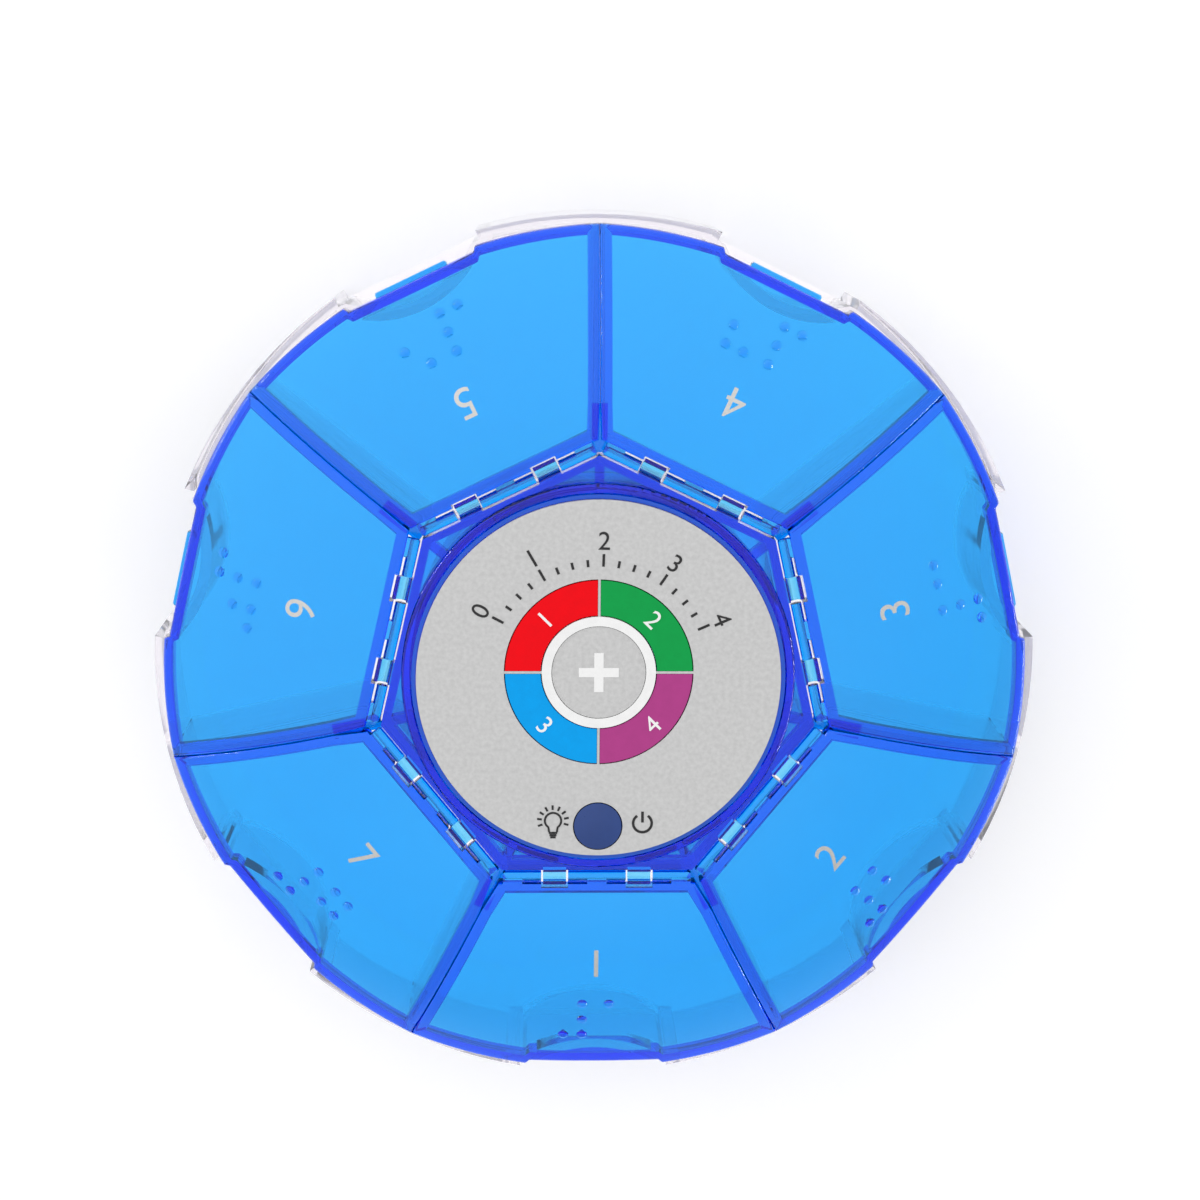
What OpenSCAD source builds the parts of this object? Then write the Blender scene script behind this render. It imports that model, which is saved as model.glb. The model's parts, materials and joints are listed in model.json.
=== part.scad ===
// Round seven day pill box with hinged lids and a lift-out reminder timer.
// The origin is the centre of the underside. Lid 1 points to -Y, +Z is up.
// Each lid is drawn in its own frame: X runs outward, Y along its hinge.

/* [Tray] */
// Diameter over the round stretches of the rim
tray_d = 116; // [112:0.5:126]
// Height of the outer wall
tray_h = 17; // [15:0.5:22]
// Thickness of the outer wall and of the inner seven-sided wall
tray_wall = 1.5; // [1.2:0.1:1.8]
// Thickness of the floor
tray_floor = 1.5; // [1:0.1:2.5]
// Thickness of the walls between compartments
partition_t = 1.6; // [1.2:0.1:2.2]
// How much thinner those walls are above the rim, on each side
partition_step = 0.1; // [0.05:0.05:0.2]
// Radius round the bottom edge
bottom_round = 1; // [0.5:0.1:1]
// Width of the finger flat in front of each compartment
flat_w = 20; // [19.5:0.5:23]
// Depth of the flat, from the round rim
flat_depth = 2.1; // [1.9:0.1:2.8]
// Depth of the finger scoop behind the flat
scoop_depth = 3.4; // [2.5:0.1:4.2]
// Width of the finger scoop at the flat
scoop_w = 18; // [15:0.5:19]
// Height of the plinth left below the scoops
plinth_h = 3; // [2:0.5:5]

/* [Lids] */
// Width of tray rim that shows outside the lids
ledge_w = 1; // [0.7:0.1:1.4]
// Thickness of the lid's skin
lid_t = 1.2; // [0.9:0.1:1.5]
// Width of the thick rim round each lid
lid_rim_w = 1.5; // [1.2:0.1:2]
// Height of the rim below the lid's surface
lid_rim_h = 2.6; // [2.2:0.1:3.2]
// Rise of the domed lids from their outer edge to the hub
dome_rise = 8; // [6:0.5:9]
// Radius inside which the lids are level
dome_flat_r = 30; // [29:0.5:33]
// How far the middle of a lid's edge falls inside a true circle
edge_flatten = 0.8; // [0.4:0.1:1]
// Width cut from each inner corner, so that a raised lid clears the next one
corner_cut_w = 0.4; // [0.4:0.1:1.5]
// Length of the corner cut along the lid's side
corner_cut_l = 4; // [3:0.5:8]
// Length beside the hinge where the side rims are left off
corner_relief_l = 8; // [7:0.5:12]
// Gap between neighbouring lids
seam_gap = 0.4; // [0.3:0.05:0.6]
// Gap between resting faces
seat_gap = 0.3; // [0.2:0.05:0.4]
// Width of the thumb lip
lip_w = 10; // [7:0.5:13]
// How far the thumb lip stands out
lip_out = 0.6; // [0.4:0.1:0.8]
// Height of the thumb lip
lip_h = 1.4; // [1:0.1:1.8]

/* [Tactile dots] */
// Diameter of the ball that a dot is part of
dot_d = 1.6; // [1.4:0.1:2]
// Height of a dot above the lid
dot_h = 0.4; // [0.3:0.05:0.5]
// Distance between dots
dot_pitch = 2.5; // [2.3:0.1:2.6]
// Distance between groups of dots
cell_pitch = 6; // [5.5:0.1:6.5]
// Distance of the middle row of dots from the lid's flat edge
dots_in = 7.5; // [6:0.25:10]

/* [Hub and hinges] */
// Width of the hub's plate outside its round ring, at the middle of a side
hub_edge_w = 0.6; // [0.5:0.1:1.4]
// Thickness of the hub's top plate
hub_plate_t = 1.5; // [1.2:0.1:1.6]
// Height of the seven-sided skirt below the plate
hub_skirt_h = 2.1; // [1.8:0.1:2.4]
// Thickness of the skirt
hub_skirt_t = 1.1; // [0.9:0.1:1.2]
// Height of the round ring above the plate
hub_ring_h = 1.1; // [0.8:0.1:1.4]
// Wall thickness of the round ring and of the cup below it
hub_wall = 1.1; // [0.9:0.1:1.2]
// Thickness of the cup's floor
cup_floor_t = 1.2; // [1:0.1:1.6]
// Thickness of the ribs in the hub's corners
rib_t = 1.2; // [0.8:0.1:1.6]
// Diameter of each lid's hinge rod
rod_d = 1.4; // [1.3:0.1:1.6]
// Length of the hinge rod
rod_l = 22; // [21:0.5:23]
// Gap between the hub plate and the hinge rod
rod_gap = 0.2; // [0.15:0.05:0.3]
// Radial clearance of the rod in its clips
hinge_clear = 0.06; // [0.04:0.01:0.1]
// Wall thickness of a clip
clip_t = 0.5; // [0.4:0.05:0.6]
// Width of a clip
clip_w = 3; // [2:0.25:3.5]
// Distance between a lid's two clips
clip_spread = 11; // [10:0.5:12]
// Width of the webs that join the rod to the lid
web_w = 2.5; // [2:0.25:3]

/* [Timer case] */
// Diameter of the timer's flange
timer_d = 47.6; // [47:0.1:48]
// Gap between the flange and the hub ring
well_gap = 0.2; // [0.15:0.05:0.3]
// Width of the flange's seat
flange_w = 1; // [0.9:0.1:1.3]
// Height of the flange with the face plate
flange_h = 3.9; // [3.6:0.1:4.1]
// Height of the face above the hub plate
face_rise = 1.6; // [1.4:0.1:1.9]
// Height of the whole timer, from face to underside
timer_h = 17.5; // [16.5:0.5:18.5]
// Wall thickness of the case
case_wall = 1.2; // [1:0.1:1.4]
// Thickness of the case's roof under the face plate
roof_t = 1.2; // [1:0.1:1.4]
// Height of the lower case's outer wall
lower_case_h = 7; // [6.5:0.25:7.5]
// Width of the flange's edge outside the face plate
face_edge_w = 0.6; // [0.5:0.05:0.8]
// Thickness of the face plate
face_t = 0.8; // [0.6:0.1:1]
// Distance of the case screws' axes from the inside of the case's wall
screw_in = 3.5; // [3.3:0.1:3.7]
// Diameter of the case screws
screw_d = 1.9; // [1.8:0.1:2.1]
// Length of the case screws under the head
screw_l = 8; // [7:0.5:8.5]

/* [Dial and keys] */
// Distance of the dial's centre from the face's centre
dial_y = 1; // [0.6:0.1:1.2]
// Outer diameter of the ring of keys
keys_d = 23.8; // [22:0.2:24.2]
// Outer diameter of the white centre ring
ring_d = 14.5; // [14:0.1:15]
// Diameter of the plate inside the white ring
disc_d = 11.9; // [11:0.1:12.2]
// Gap between neighbouring keys
key_gap = 0.4; // [0.3:0.05:0.6]
// Gap round the keys, the button and the centre plate
key_fit = 0.15; // [0.1:0.05:0.2]
// Travel of each key
key_travel = 0.4; // [0.3:0.05:0.45]
// Diameter of the stem under each key
stem_d = 3.2; // [2.6:0.2:3.6]
// Diameter of the power button
button_d = 6.1; // [5.6:0.1:6.4]
// Distance of the power button's axis from the face plate's edge
button_in = 3.9; // [3.8:0.1:4.2]
// Height of the button's dome above the face
button_dome = 0.6; // [0.4:0.1:0.8]
// Travel of the power button
button_travel = 0.4; // [0.3:0.05:0.45]

/* [Inside the timer] */
// Thickness of the circuit board
board_t = 1.6; // [1.2:0.2:1.8]
// Side of the push switches
switch_w = 4.5; // [4:0.1:4.7]
// Height of the push switches with their plungers
switch_h = 3.4; // [3:0.1:3.7]
// Diameter of the coin cell
cell_d = 20; // [19.6:0.1:20.2]
// Thickness of the coin cell
cell_t = 3.2; // [2.8:0.1:3.3]
// Diameter of the battery door
door_d = 22.8; // [22.2:0.1:23]
// Thickness of the battery door below its tabs
door_t = 1.7; // [1.6:0.05:1.8]
// Gap between the buzzer and the lower case's lining
buzzer_gap = 0.55; // [0.4:0.05:1]
// Height of the buzzer
buzzer_h = 3.6; // [3:0.1:4]
// Side of the controller chip
chip_w = 6; // [5:0.5:7]
// Height of the controller chip
chip_h = 1.2; // [0.8:0.1:1.6]
// Diameter of the lamp
led_d = 3; // [2.4:0.1:3.2]
// Height of the lamp's straight part
led_h = 2; // [1.2:0.1:2.4]
// Diameter of the timing crystal's can
crystal_d = 2; // [1.6:0.1:2.4]
// Length of the timing crystal's can
crystal_l = 6; // [5:0.5:7]
// Diameter of the capacitor
capacitor_d = 4; // [3:0.25:4.5]
// Height of the capacitor
capacitor_h = 3.2; // [2:0.1:4]

/* [Hidden] */
$fn = 96;

// Colours
clear_blue = [0.12, 0.45, 0.95, 0.75];
deep_blue = [0.08, 0.25, 0.8, 0.85];
clear_plastic = [0.93, 0.95, 0.97, 0.45];

// Counts and angles
lid_count = 7;
half_turn = 180 / lid_count;
lid_step = 360 / lid_count;
first_lid = -90;
first_seam = first_lid + half_turn;
screw_angles = [90, 210, 330];

// Reach of a cut that ends outside the part, and overshoot of a cut past a face
far = 90;
over = 1;

// Overlap where solids of one piece join
eps = 0.01;

// Gap between faces that slide past or hold each other
rub_gap = 0.1;

// Heights, from the table upward
lid_base_z = tray_h + seat_gap;
dome_edge_z = lid_base_z + lid_rim_h;
hub_top_z = dome_edge_z + dome_rise;
hub_plate_z = hub_top_z - hub_plate_t;
hub_skirt_z = hub_plate_z - hub_skirt_h;
inner_wall_z = hub_skirt_z - seat_gap;
face_top_z = hub_top_z + face_rise;
face_z = face_top_z - face_t;
roof_z = face_z - roof_t;
flange_z = face_top_z - flange_h;
ledge_z = flange_z - seat_gap;
timer_z = face_top_z - timer_h;
cup_floor_z = timer_z - seat_gap - cup_floor_t;
case_split_z = timer_z + lower_case_h;

// Radii and distances in the lid and tray
tray_r = tray_d / 2;
flat_x = tray_r - flat_depth;
lid_r = tray_r - ledge_w;
lid_flat_x = flat_x - ledge_w;
lid_flat_w = flat_w - 2 * ledge_w;
dome_run = lid_r - dome_flat_r;
dome_rho = (dome_run * dome_run + dome_rise * dome_rise) / (2 * dome_rise);
edge_shift = edge_flatten / (1 - cos(half_turn));
edge_r = lid_r + edge_shift * cos(half_turn);
scoop_r = (pow(scoop_w / 2, 2) + pow(scoop_depth, 2)) / (2 * scoop_depth);
scoop_end_y = (scoop_w + flat_w) / 4;
scoop_x = flat_x - scoop_depth + scoop_r;
partition_drop = lid_rim_h + seat_gap;
skin_drop = lid_t + seat_gap;

dots_r = lid_flat_x - dots_in;

// Hub and cup
ring_in_r = timer_d / 2 + well_gap;
ring_out_r = ring_in_r + hub_wall;
hub_apothem = ring_out_r + hub_edge_w;
timer_low_r = timer_d / 2 - flange_w;
cup_in_r = timer_low_r + seat_gap;
cup_out_r = cup_in_r + hub_wall;
rib_start = cup_in_r + hub_wall / 2;
rib_end = (hub_apothem - hub_skirt_t / 2) / cos(half_turn);
rib_rise = 0.3;
inner_wall_apothem = cup_out_r + seat_gap;
partition_start = (inner_wall_apothem + tray_wall / 2) / cos(half_turn);
snap_count = 3;
snap_out = 0.5;
snap_h = 1.2;
snap_w = 5;
snap_rise = 3.5;
snap_z = tray_floor + snap_rise;
socket_r = cup_in_r - seat_gap;
socket_h = 6;
socket_t = 1.2;
ring_round = 0.5;

// Hinge line
rod_r = rod_d / 2;
hinge_x = hub_apothem + rod_gap + rod_r;
hinge_z = hub_top_z - rod_r;
clip_bore_r = rod_r + hinge_clear;
clip_r = clip_bore_r + clip_t;
lid_inner_x = hinge_x + clip_bore_r + rod_gap;
clip_clear = 0.25;
clip_step = 0.2;
corner_y = side_y(lid_inner_x) - corner_cut_w;
corner_angle = atan2(side_y(lid_inner_x + corner_cut_l) - corner_y, corner_cut_l);
clip_places = [-clip_spread / 2, clip_spread / 2];
web_places = [web_w / 2 - rod_l / 2, 0, rod_l / 2 - web_w / 2];
web_t = rod_r + clip_t;

// Timer case
case_in_r = timer_low_r - case_wall;
face_r = timer_d / 2 - face_edge_w;
pocket_r = face_r + rub_gap;
screw_circle_r = case_in_r - screw_in;
screw_r = screw_d / 2;
screw_clear = 0.2;
boss_wall = 1.4;
boss_end = 0.5;
post_wall = 0.9;
head_r = 2 * screw_r;
head_h = 1.4;
head_slot_w = 0.6;
boss_r = screw_r + boss_wall;
post_r = head_r + post_wall;
bay_wall = 1.1;
case_floor_t = 1.4;
spigot_t = 0.6;
spigot_h = 1.5;
spigot_r = case_in_r - key_fit;

// Length of a screw between its head and the two faces of the board
screw_rest = 3.2;
screw_grip = board_t + screw_rest;

// Dial, keys and switches
keys_r = keys_d / 2;
ring_r = ring_d / 2;
disc_r = disc_d / 2;
key_in_r = ring_r + key_fit;
opening_r = keys_r + key_fit;
key_flange_w = 0.7;
key_flange_r = opening_r + key_flange_w;
guide_hole_r = key_flange_r + seat_gap;
guide_edge_w = 1.2;
guide_r = guide_hole_r + guide_edge_w;
guide_t = 0.8;
guide_z = roof_z - guide_t;
key_place_r = (key_in_r + keys_r) / 2;
key_flange_z = roof_z + key_travel + rub_gap;
stem_z = guide_z - rub_gap;
plunger_z = stem_z - key_travel - rub_gap;
board_top_z = plunger_z - switch_h;
board_z = board_top_z - board_t;
board_r = case_in_r - seat_gap;
ring_lip = 0.1;
disc_t = 0.6;
key_angles = [135, 45, 225, 315];
plunger_r = 1.2;
plunger_h = 0.8;

// Power button
button_r = button_d / 2;
button_hole_r = button_r + key_fit;
button_y = face_r - button_in;
button_flange_w = 0.8;
button_flange_r = button_r + button_flange_w;
button_flange_z = plunger_z + button_travel + rub_gap;
button_cap_rho = (button_r * button_r + button_dome * button_dome) / (2 * button_dome);
power_switch_y = sqrt(pow(board_r - seat_gap, 2) - pow(switch_w / 2, 2)) - switch_w / 2;

// Battery bay
door_r = door_d / 2;
door_hole_r = door_r + seat_gap;
tab_out = 1;
tab_t = 0.6;
tab_angle = 32;
tab_play = 6;
door_slot_l = 14;
door_slot_w = 1.8;
door_slot_depth = 1;
tab_z = timer_z + door_t;
bay_low_r = door_r + tab_out + seat_gap;
bay_low_z = tab_z + tab_t + seat_gap;
bay_r = cell_d / 2 + seat_gap;
cell_z = bay_low_z + rub_gap;
bay_top_z = cell_z + cell_t;
cell_cap_inset = 1.2;
cell_cap_h = 0.6;
contact_t = 0.3;
contact_w = 4;
contact_foot = 2.5;
contact_angle = 180;
spring_reach = 4;
spring_foot = 2.6;
spring_tip = 2;

// Small parts on the board
led_rim_w = 0.2;
led_rim_h = 0.8;
led_x = -5.2;
led_in = 4.5;
crystal_in = 5.8;
crystal_y = -2;
capacitor_in = 6.8;
capacitor_y = 2;
buzzer_angle = 30;
buzzer_from = bay_low_r + bay_wall + seat_gap;
buzzer_r = (spigot_r - spigot_t - buzzer_gap - buzzer_from) / 2;
buzzer_place_r = buzzer_from + buzzer_r;
sound_hole_count = 3;
sound_hole_r = 0.6;
sound_circle_r = 1.3;
buzzer_hole_r = 0.8;

// Height of the lid surface at a distance from the centre
function dome_z(r) = r < dome_flat_r ? hub_top_z
    : hub_top_z - dome_rho + sqrt(pow(dome_rho, 2) - pow(r - dome_flat_r, 2));

// Half of a lid's width at a distance along it
function side_y(x) = x * tan(half_turn) - seam_gap / 2 / cos(half_turn);

// Radius of the circle through the corners of a seven-sided figure
function corner_r(apothem) = apothem / cos(half_turn);

// Rows and columns of the dots numbered 1 to 6 in a group
digit_dots = [[1], [1, 2], [1, 4], [1, 4, 5], [1, 5], [1, 2, 4], [1, 2, 4, 5]];
number_sign = [3, 4, 5, 6];
function dot_x(n) = dots_r + ((n - 1) % 3 - 1) * dot_pitch;
function dot_y(n) = floor((n - 1) / 3) * dot_pitch - dot_pitch / 2;

module at_lid(k) rotate(first_lid + (k - 1) * lid_step) children();

module at_each_lid() for (k = [1 : lid_count]) at_lid(k) children();

module at_each_seam() for (k = [1 : lid_count]) rotate(first_seam + (k - 1) * lid_step) children();

// Upright tube between two radii and two heights
module tube(outer, inner, low, high) difference() {
    translate([0, 0, low]) cylinder(r = outer, h = high - low);
    translate([0, 0, low - over]) cylinder(r = inner, h = high - low + 2 * over);
}

// Seven-sided prism with its corners on the seams
module heptagon(apothem, low, high) translate([0, 0, low]) rotate(first_seam)
    cylinder(r = corner_r(apothem), h = high - low, $fn = 7);

// Everything below the domed surface, lowered by a drop
module under_dome(drop) translate([0, 0, -drop]) rotate_extrude($fn = 192) intersection() {
    union() {
        square([dome_flat_r, hub_top_z]);
        translate([dome_flat_r, hub_top_z - dome_rho]) circle(r = dome_rho, $fn = 360);
    }
    square([tray_r + over, hub_top_z + over]);
}

// Wedge between two seams, drawn in by an inset
module wedge(inset) {
    tip = inset / sin(half_turn);
    polygon([[tip, 0], [tip + far, -far * tan(half_turn)], [tip + far, far * tan(half_turn)]]);
}

// Outer edge of a lid: a flattened arc with a straight finger flat
module lid_edge(inset) difference() {
    translate([-edge_shift, 0]) circle(r = edge_r - inset, $fn = 360);
    translate([lid_flat_x - inset, -lid_flat_w / 2 - inset]) square([far, lid_flat_w + 2 * inset]);
}

// Everything on the lid's side of its corner cut
module corner_side(inset) translate([lid_inner_x, corner_y]) rotate(corner_angle)
    translate([-far, -2 * far - inset]) square(2 * far);

// Plan of a lid, drawn in by an inset
module lid_plan(inset) intersection() {
    wedge(seam_gap / 2 + inset);
    lid_edge(inset);
    translate([lid_inner_x + inset, -far / 2]) square([far, far]);
    corner_side(inset);
    mirror([0, 1]) corner_side(inset);
}

// Plan of the corners where the side rims are left off
module relief_plan() difference() {
    translate([0, -far / 2]) square([lid_inner_x + corner_relief_l, far]);
    wedge(seam_gap / 2 + lid_rim_w + seat_gap);
}

module upright(low = 0, high = far) translate([0, 0, low]) linear_extrude(high - low) children();

module tray_outline() difference() {
    circle(r = tray_r, $fn = 360);
    at_each_lid() translate([flat_x, -flat_w / 2]) square([far, flat_w]);
}

// Plan of one compartment
module compartment_plan() difference() {
    intersection() {
        wedge(partition_t / 2);
        circle(r = tray_r - tray_wall, $fn = 360);
        translate([inner_wall_apothem + tray_wall, -far / 2]) square([far, far]);
    }
    translate([flat_x - tray_wall, -flat_w / 2 - tray_wall]) square([far, flat_w + 2 * tray_wall]);
    translate([scoop_x, 0]) circle(r = scoop_r + tray_wall, $fn = 180);
}

// Outer body of the tray with its rounded bottom edge
module tray_blank() intersection() {
    upright(0, tray_h) tray_outline();
    rotate_extrude($fn = 192) {
        translate([0, bottom_round]) square([tray_r, tray_h]);
        square([tray_r - bottom_round, tray_h]);
        translate([tray_r - bottom_round, bottom_round]) circle(r = bottom_round);
    }
}

// Round cut behind the flat, which ends in the open beyond it
module scoop() intersection() {
    translate([scoop_x, 0, plinth_h]) cylinder(r = scoop_r, h = far, $fn = 180);
    translate([0, -scoop_end_y, 0]) cube([far, 2 * scoop_end_y, 2 * far]);
}

// The scoop's wall carried up to the lid's skin, inside the lid's rim
module scoop_wall() intersection() {
    upright(tray_h - over) intersection() {
        difference() {
            translate([scoop_x, 0]) circle(r = scoop_r + tray_wall, $fn = 180);
            translate([scoop_x, 0]) circle(r = scoop_r, $fn = 180);
        }
        lid_plan(lid_rim_w + seat_gap);
    }
    under_dome(skin_drop);
}

// A partition carried up to the rims of the lids beside it
module partition() intersection() {
    upright(tray_h - over) translate([partition_start, partition_step - partition_t / 2])
        square([lid_r, partition_t - 2 * partition_step]);
    under_dome(partition_drop);
    translate([0, 0, tray_floor]) cylinder(r = lid_r - lid_rim_w - seat_gap, h = hub_top_z);
}

// Low ring on the tray floor that the hub's cup snaps over
module socket_ring() {
    tube(socket_r, socket_r - socket_t, tray_floor - eps, tray_floor + socket_h);
    intersection() {
        tube(socket_r + snap_out, socket_r - eps, snap_z, snap_z + snap_h);
        for (k = [0 : snap_count - 1]) rotate(k * 360 / snap_count)
            translate([0, -snap_w / 2, 0]) cube([far, snap_w, far]);
    }
}

module tray() color(clear_plastic) {
    difference() {
        tray_blank();
        at_each_lid() upright(tray_floor) compartment_plan();
        heptagon(inner_wall_apothem, tray_floor, far);
        at_each_lid() scoop();
    }
    intersection() {
        difference() {
            heptagon(inner_wall_apothem + tray_wall, tray_floor - eps, inner_wall_z);
            heptagon(inner_wall_apothem, tray_floor - over, far);
        }
        under_dome(partition_drop);
    }
    difference() {
        at_each_seam() partition();
        heptagon(hub_apothem + seat_gap, inner_wall_z, far);
    }
    at_each_lid() scoop_wall();
    socket_ring();
}

// Clip that holds a hinge rod, open toward the upper outside
module hinge_clip() rotate([90, 0, 0]) linear_extrude(clip_w, center = true) difference() {
    union() {
        translate([hinge_x, hinge_z]) circle(r = clip_r);
        translate([hub_apothem - hub_skirt_t / 2, hinge_z - clip_r])
            square([hinge_x - hub_apothem + hub_skirt_t / 2, 2 * clip_r]);
    }
    translate([hinge_x, hinge_z]) circle(r = clip_bore_r);
    translate([hinge_x, hinge_z + hinge_clear]) square([clip_r + over, clip_r]);
    translate([hub_apothem - hub_skirt_t, hub_top_z - clip_step]) square([far, 2 * clip_r]);
}

module hub_ring() rotate_extrude($fn = 180) difference() {
    translate([ring_in_r, hub_skirt_z])
        square([hub_wall, hub_top_z + hub_ring_h - hub_skirt_z]);
    translate([ring_out_r - ring_round, hub_top_z + hub_ring_h - ring_round]) difference() {
        square(2 * ring_round);
        circle(r = ring_round);
    }
}

module hub_frame() color(deep_blue) {
    difference() {
        union() {
            difference() {
                heptagon(hub_apothem, hub_skirt_z, hub_top_z);
                heptagon(hub_apothem - hub_skirt_t, hub_skirt_z - over, hub_plate_z);
            }
            at_each_seam() translate([rib_start, -rib_t / 2, hub_skirt_z + rib_rise])
                cube([rib_end - rib_start, rib_t, hub_skirt_h - rib_rise + eps]);
            tube(ring_out_r, cup_in_r, hub_skirt_z, ledge_z);
        }
        translate([0, 0, ledge_z]) cylinder(r = ring_in_r, h = far, $fn = 180);
        translate([0, 0, hub_skirt_z - over]) cylinder(r = cup_in_r, h = far, $fn = 180);
    }
    hub_ring();
    difference() {
        tube(cup_out_r, cup_in_r, tray_floor + seat_gap, ledge_z);
        for (k = [0 : snap_count - 1]) rotate(k * 360 / snap_count)
            translate([cup_in_r - over, -snap_w / 2 - seat_gap, snap_z - seat_gap])
                cube([hub_wall + 2 * over, snap_w + 2 * seat_gap, snap_h + 2 * seat_gap]);
    }
    translate([0, 0, cup_floor_z]) cylinder(r = cup_in_r + eps, h = cup_floor_t);
    at_each_lid() for (y = clip_places) translate([0, y, 0]) hinge_clip();
}

// The lid's skin, its thick rim and the upright outer edge
module lid_shell() {
    intersection() {
        upright() lid_plan(0);
        difference() {
            under_dome(0);
            under_dome(lid_t);
        }
    }
    intersection() {
        upright() difference() {
            lid_plan(0);
            lid_plan(lid_rim_w);
            relief_plan();
        }
        difference() {
            under_dome(0);
            under_dome(lid_rim_h);
        }
    }
    intersection() {
        upright(lid_base_z) difference() {
            lid_plan(0);
            lid_edge(lid_rim_w);
        }
        under_dome(0);
    }
}

// Hinge rod and the webs that carry it
module lid_rod() {
    translate([hinge_x, 0, hinge_z]) rotate([90, 0, 0]) cylinder(r = rod_r, h = rod_l, center = true);
    for (y = web_places) translate([hinge_x, y - web_w / 2, hub_top_z - web_t])
        cube([lid_inner_x + eps - hinge_x, web_w, web_t]);
}

module thumb_lip() translate([lid_flat_x - eps, -lip_w / 2, lid_base_z])
    cube([lip_out + eps, lip_w, lip_h]);

// Raised dots that say the lid's number by touch
module tactile_dots(k) {
    for (n = number_sign) tactile_dot(dot_x(n), dot_y(n) - cell_pitch / 2);
    for (n = digit_dots[k - 1]) tactile_dot(dot_x(n), dot_y(n) + cell_pitch / 2);
}

module tactile_dot(x, y) translate([x, y, dome_z(norm([x, y])) + dot_h - dot_d / 2])
    sphere(r = dot_d / 2, $fn = 32);

module lid(k) color(clear_blue) at_lid(k) {
    difference() {
        lid_shell();
        for (y = clip_places) translate([0, y, hinge_z])
            cube([2 * (hinge_x + clip_r + clip_clear), clip_w + 2 * clip_clear, far], center = true);
    }
    lid_rod();
    thumb_lip();
    difference() {
        tactile_dots(k);
        under_dome(lid_t / 2);
    }
}

// Places on the face, seen from above
module at_dial() translate([0, dial_y, 0]) children();

module at_button() translate([0, -button_y, 0]) children();

module at_screws() for (a = screw_angles) rotate(a) translate([screw_circle_r, 0, 0]) children();

module at_keys() at_dial() for (a = key_angles) rotate(a) translate([key_place_r, 0, 0]) children();

module at_buzzer() rotate(buzzer_angle) translate([buzzer_place_r, 0, 0]) children();

// Room that the bosses and the button leave for the key guide
module guide_room() at_dial() cylinder(r = guide_r + seat_gap, h = far);

module timer_case_top() color(deep_blue) difference() {
    union() {
        difference() {
            union() {
                translate([0, 0, flange_z])
                    cylinder(r = timer_d / 2, h = face_z + face_t / 2 - flange_z, $fn = 180);
                translate([0, 0, case_split_z])
                    cylinder(r = timer_low_r, h = roof_z - case_split_z, $fn = 180);
            }
            translate([0, 0, case_split_z - over])
                cylinder(r = case_in_r, h = roof_z - case_split_z + over, $fn = 180);
        }
        difference() {
            intersection() {
                at_screws() translate([0, 0, board_top_z])
                    cylinder(r = boss_r, h = roof_z + eps - board_top_z);
                cylinder(r = case_in_r + eps, h = far);
            }
            guide_room();
        }
    }
    translate([0, 0, face_z]) cylinder(r = pocket_r, h = far, $fn = 180);
    at_dial() translate([0, 0, roof_z - over]) cylinder(r = guide_hole_r, h = far);
    at_button() translate([0, 0, button_flange_z - button_travel - seat_gap])
        cylinder(r = button_hole_r, h = far);
    at_screws() translate([0, 0, board_top_z - over])
        cylinder(r = screw_r + hinge_clear, h = roof_z - boss_end - board_top_z + over);
}

// Ring of small holes that lets the buzzer be heard
module sound_holes() at_buzzer() for (k = [1 : sound_hole_count]) rotate(k * 360 / sound_hole_count)
    translate([sound_circle_r, 0, timer_z - over])
        cylinder(r = sound_hole_r, h = case_floor_t + 2 * over);

module battery_bay() difference() {
    translate([0, 0, timer_z]) cylinder(r = bay_low_r + bay_wall, h = bay_top_z - timer_z);
    translate([0, 0, timer_z + case_floor_t])
        cylinder(r = bay_low_r, h = bay_low_z - timer_z - case_floor_t);
    translate([0, 0, timer_z - over]) cylinder(r = bay_r, h = far);
    rotate(contact_angle) translate([0, -contact_w / 2 - seat_gap, bay_low_z])
        cube([bay_r + contact_t + 2 * seat_gap, contact_w + 2 * seat_gap, far]);
}

// Two openings in the floor that let the door's tabs in
module tab_notches() intersection() {
    tube(bay_low_r, door_r - over, timer_z - over, timer_z + case_floor_t + eps);
    for (a = [90, 270]) rotate(a) tab_wedge(tab_angle + tab_play);
}

module tab_wedge(angle) upright() polygon([[0, 0],
    [far, -far * tan(angle / 2)], [far, far * tan(angle / 2)]]);

module timer_case_bottom() color(deep_blue) difference() {
    union() {
        difference() {
            translate([0, 0, timer_z]) cylinder(r = timer_low_r, h = lower_case_h, $fn = 180);
            translate([0, 0, timer_z + case_floor_t])
                cylinder(r = case_in_r, h = far, $fn = 180);
        }
        tube(spigot_r, spigot_r - spigot_t, case_split_z - spigot_h, case_split_z + spigot_h);
        tube(case_in_r + eps, spigot_r - spigot_t, timer_z + case_floor_t - eps, case_split_z - over);
        at_screws() translate([0, 0, timer_z]) cylinder(r = post_r, h = board_z - timer_z);
        battery_bay();
    }
    translate([0, 0, timer_z - over]) cylinder(r = door_hole_r, h = case_floor_t + over + eps);
    tab_notches();
    at_screws() {
        translate([0, 0, timer_z - over])
            cylinder(r = head_r + screw_clear, h = board_top_z - screw_grip - timer_z + over);
        translate([0, 0, timer_z]) cylinder(r = screw_r + screw_clear, h = far);
    }
    sound_holes();
}

module face_plate() color([0.8, 0.8, 0.8]) difference() {
    translate([0, 0, face_z]) cylinder(r = face_r, h = face_t, $fn = 180);
    at_dial() translate([0, 0, face_z - over]) cylinder(r = opening_r, h = far);
    at_button() translate([0, 0, face_z - over]) cylinder(r = button_hole_r, h = far);
}

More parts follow.
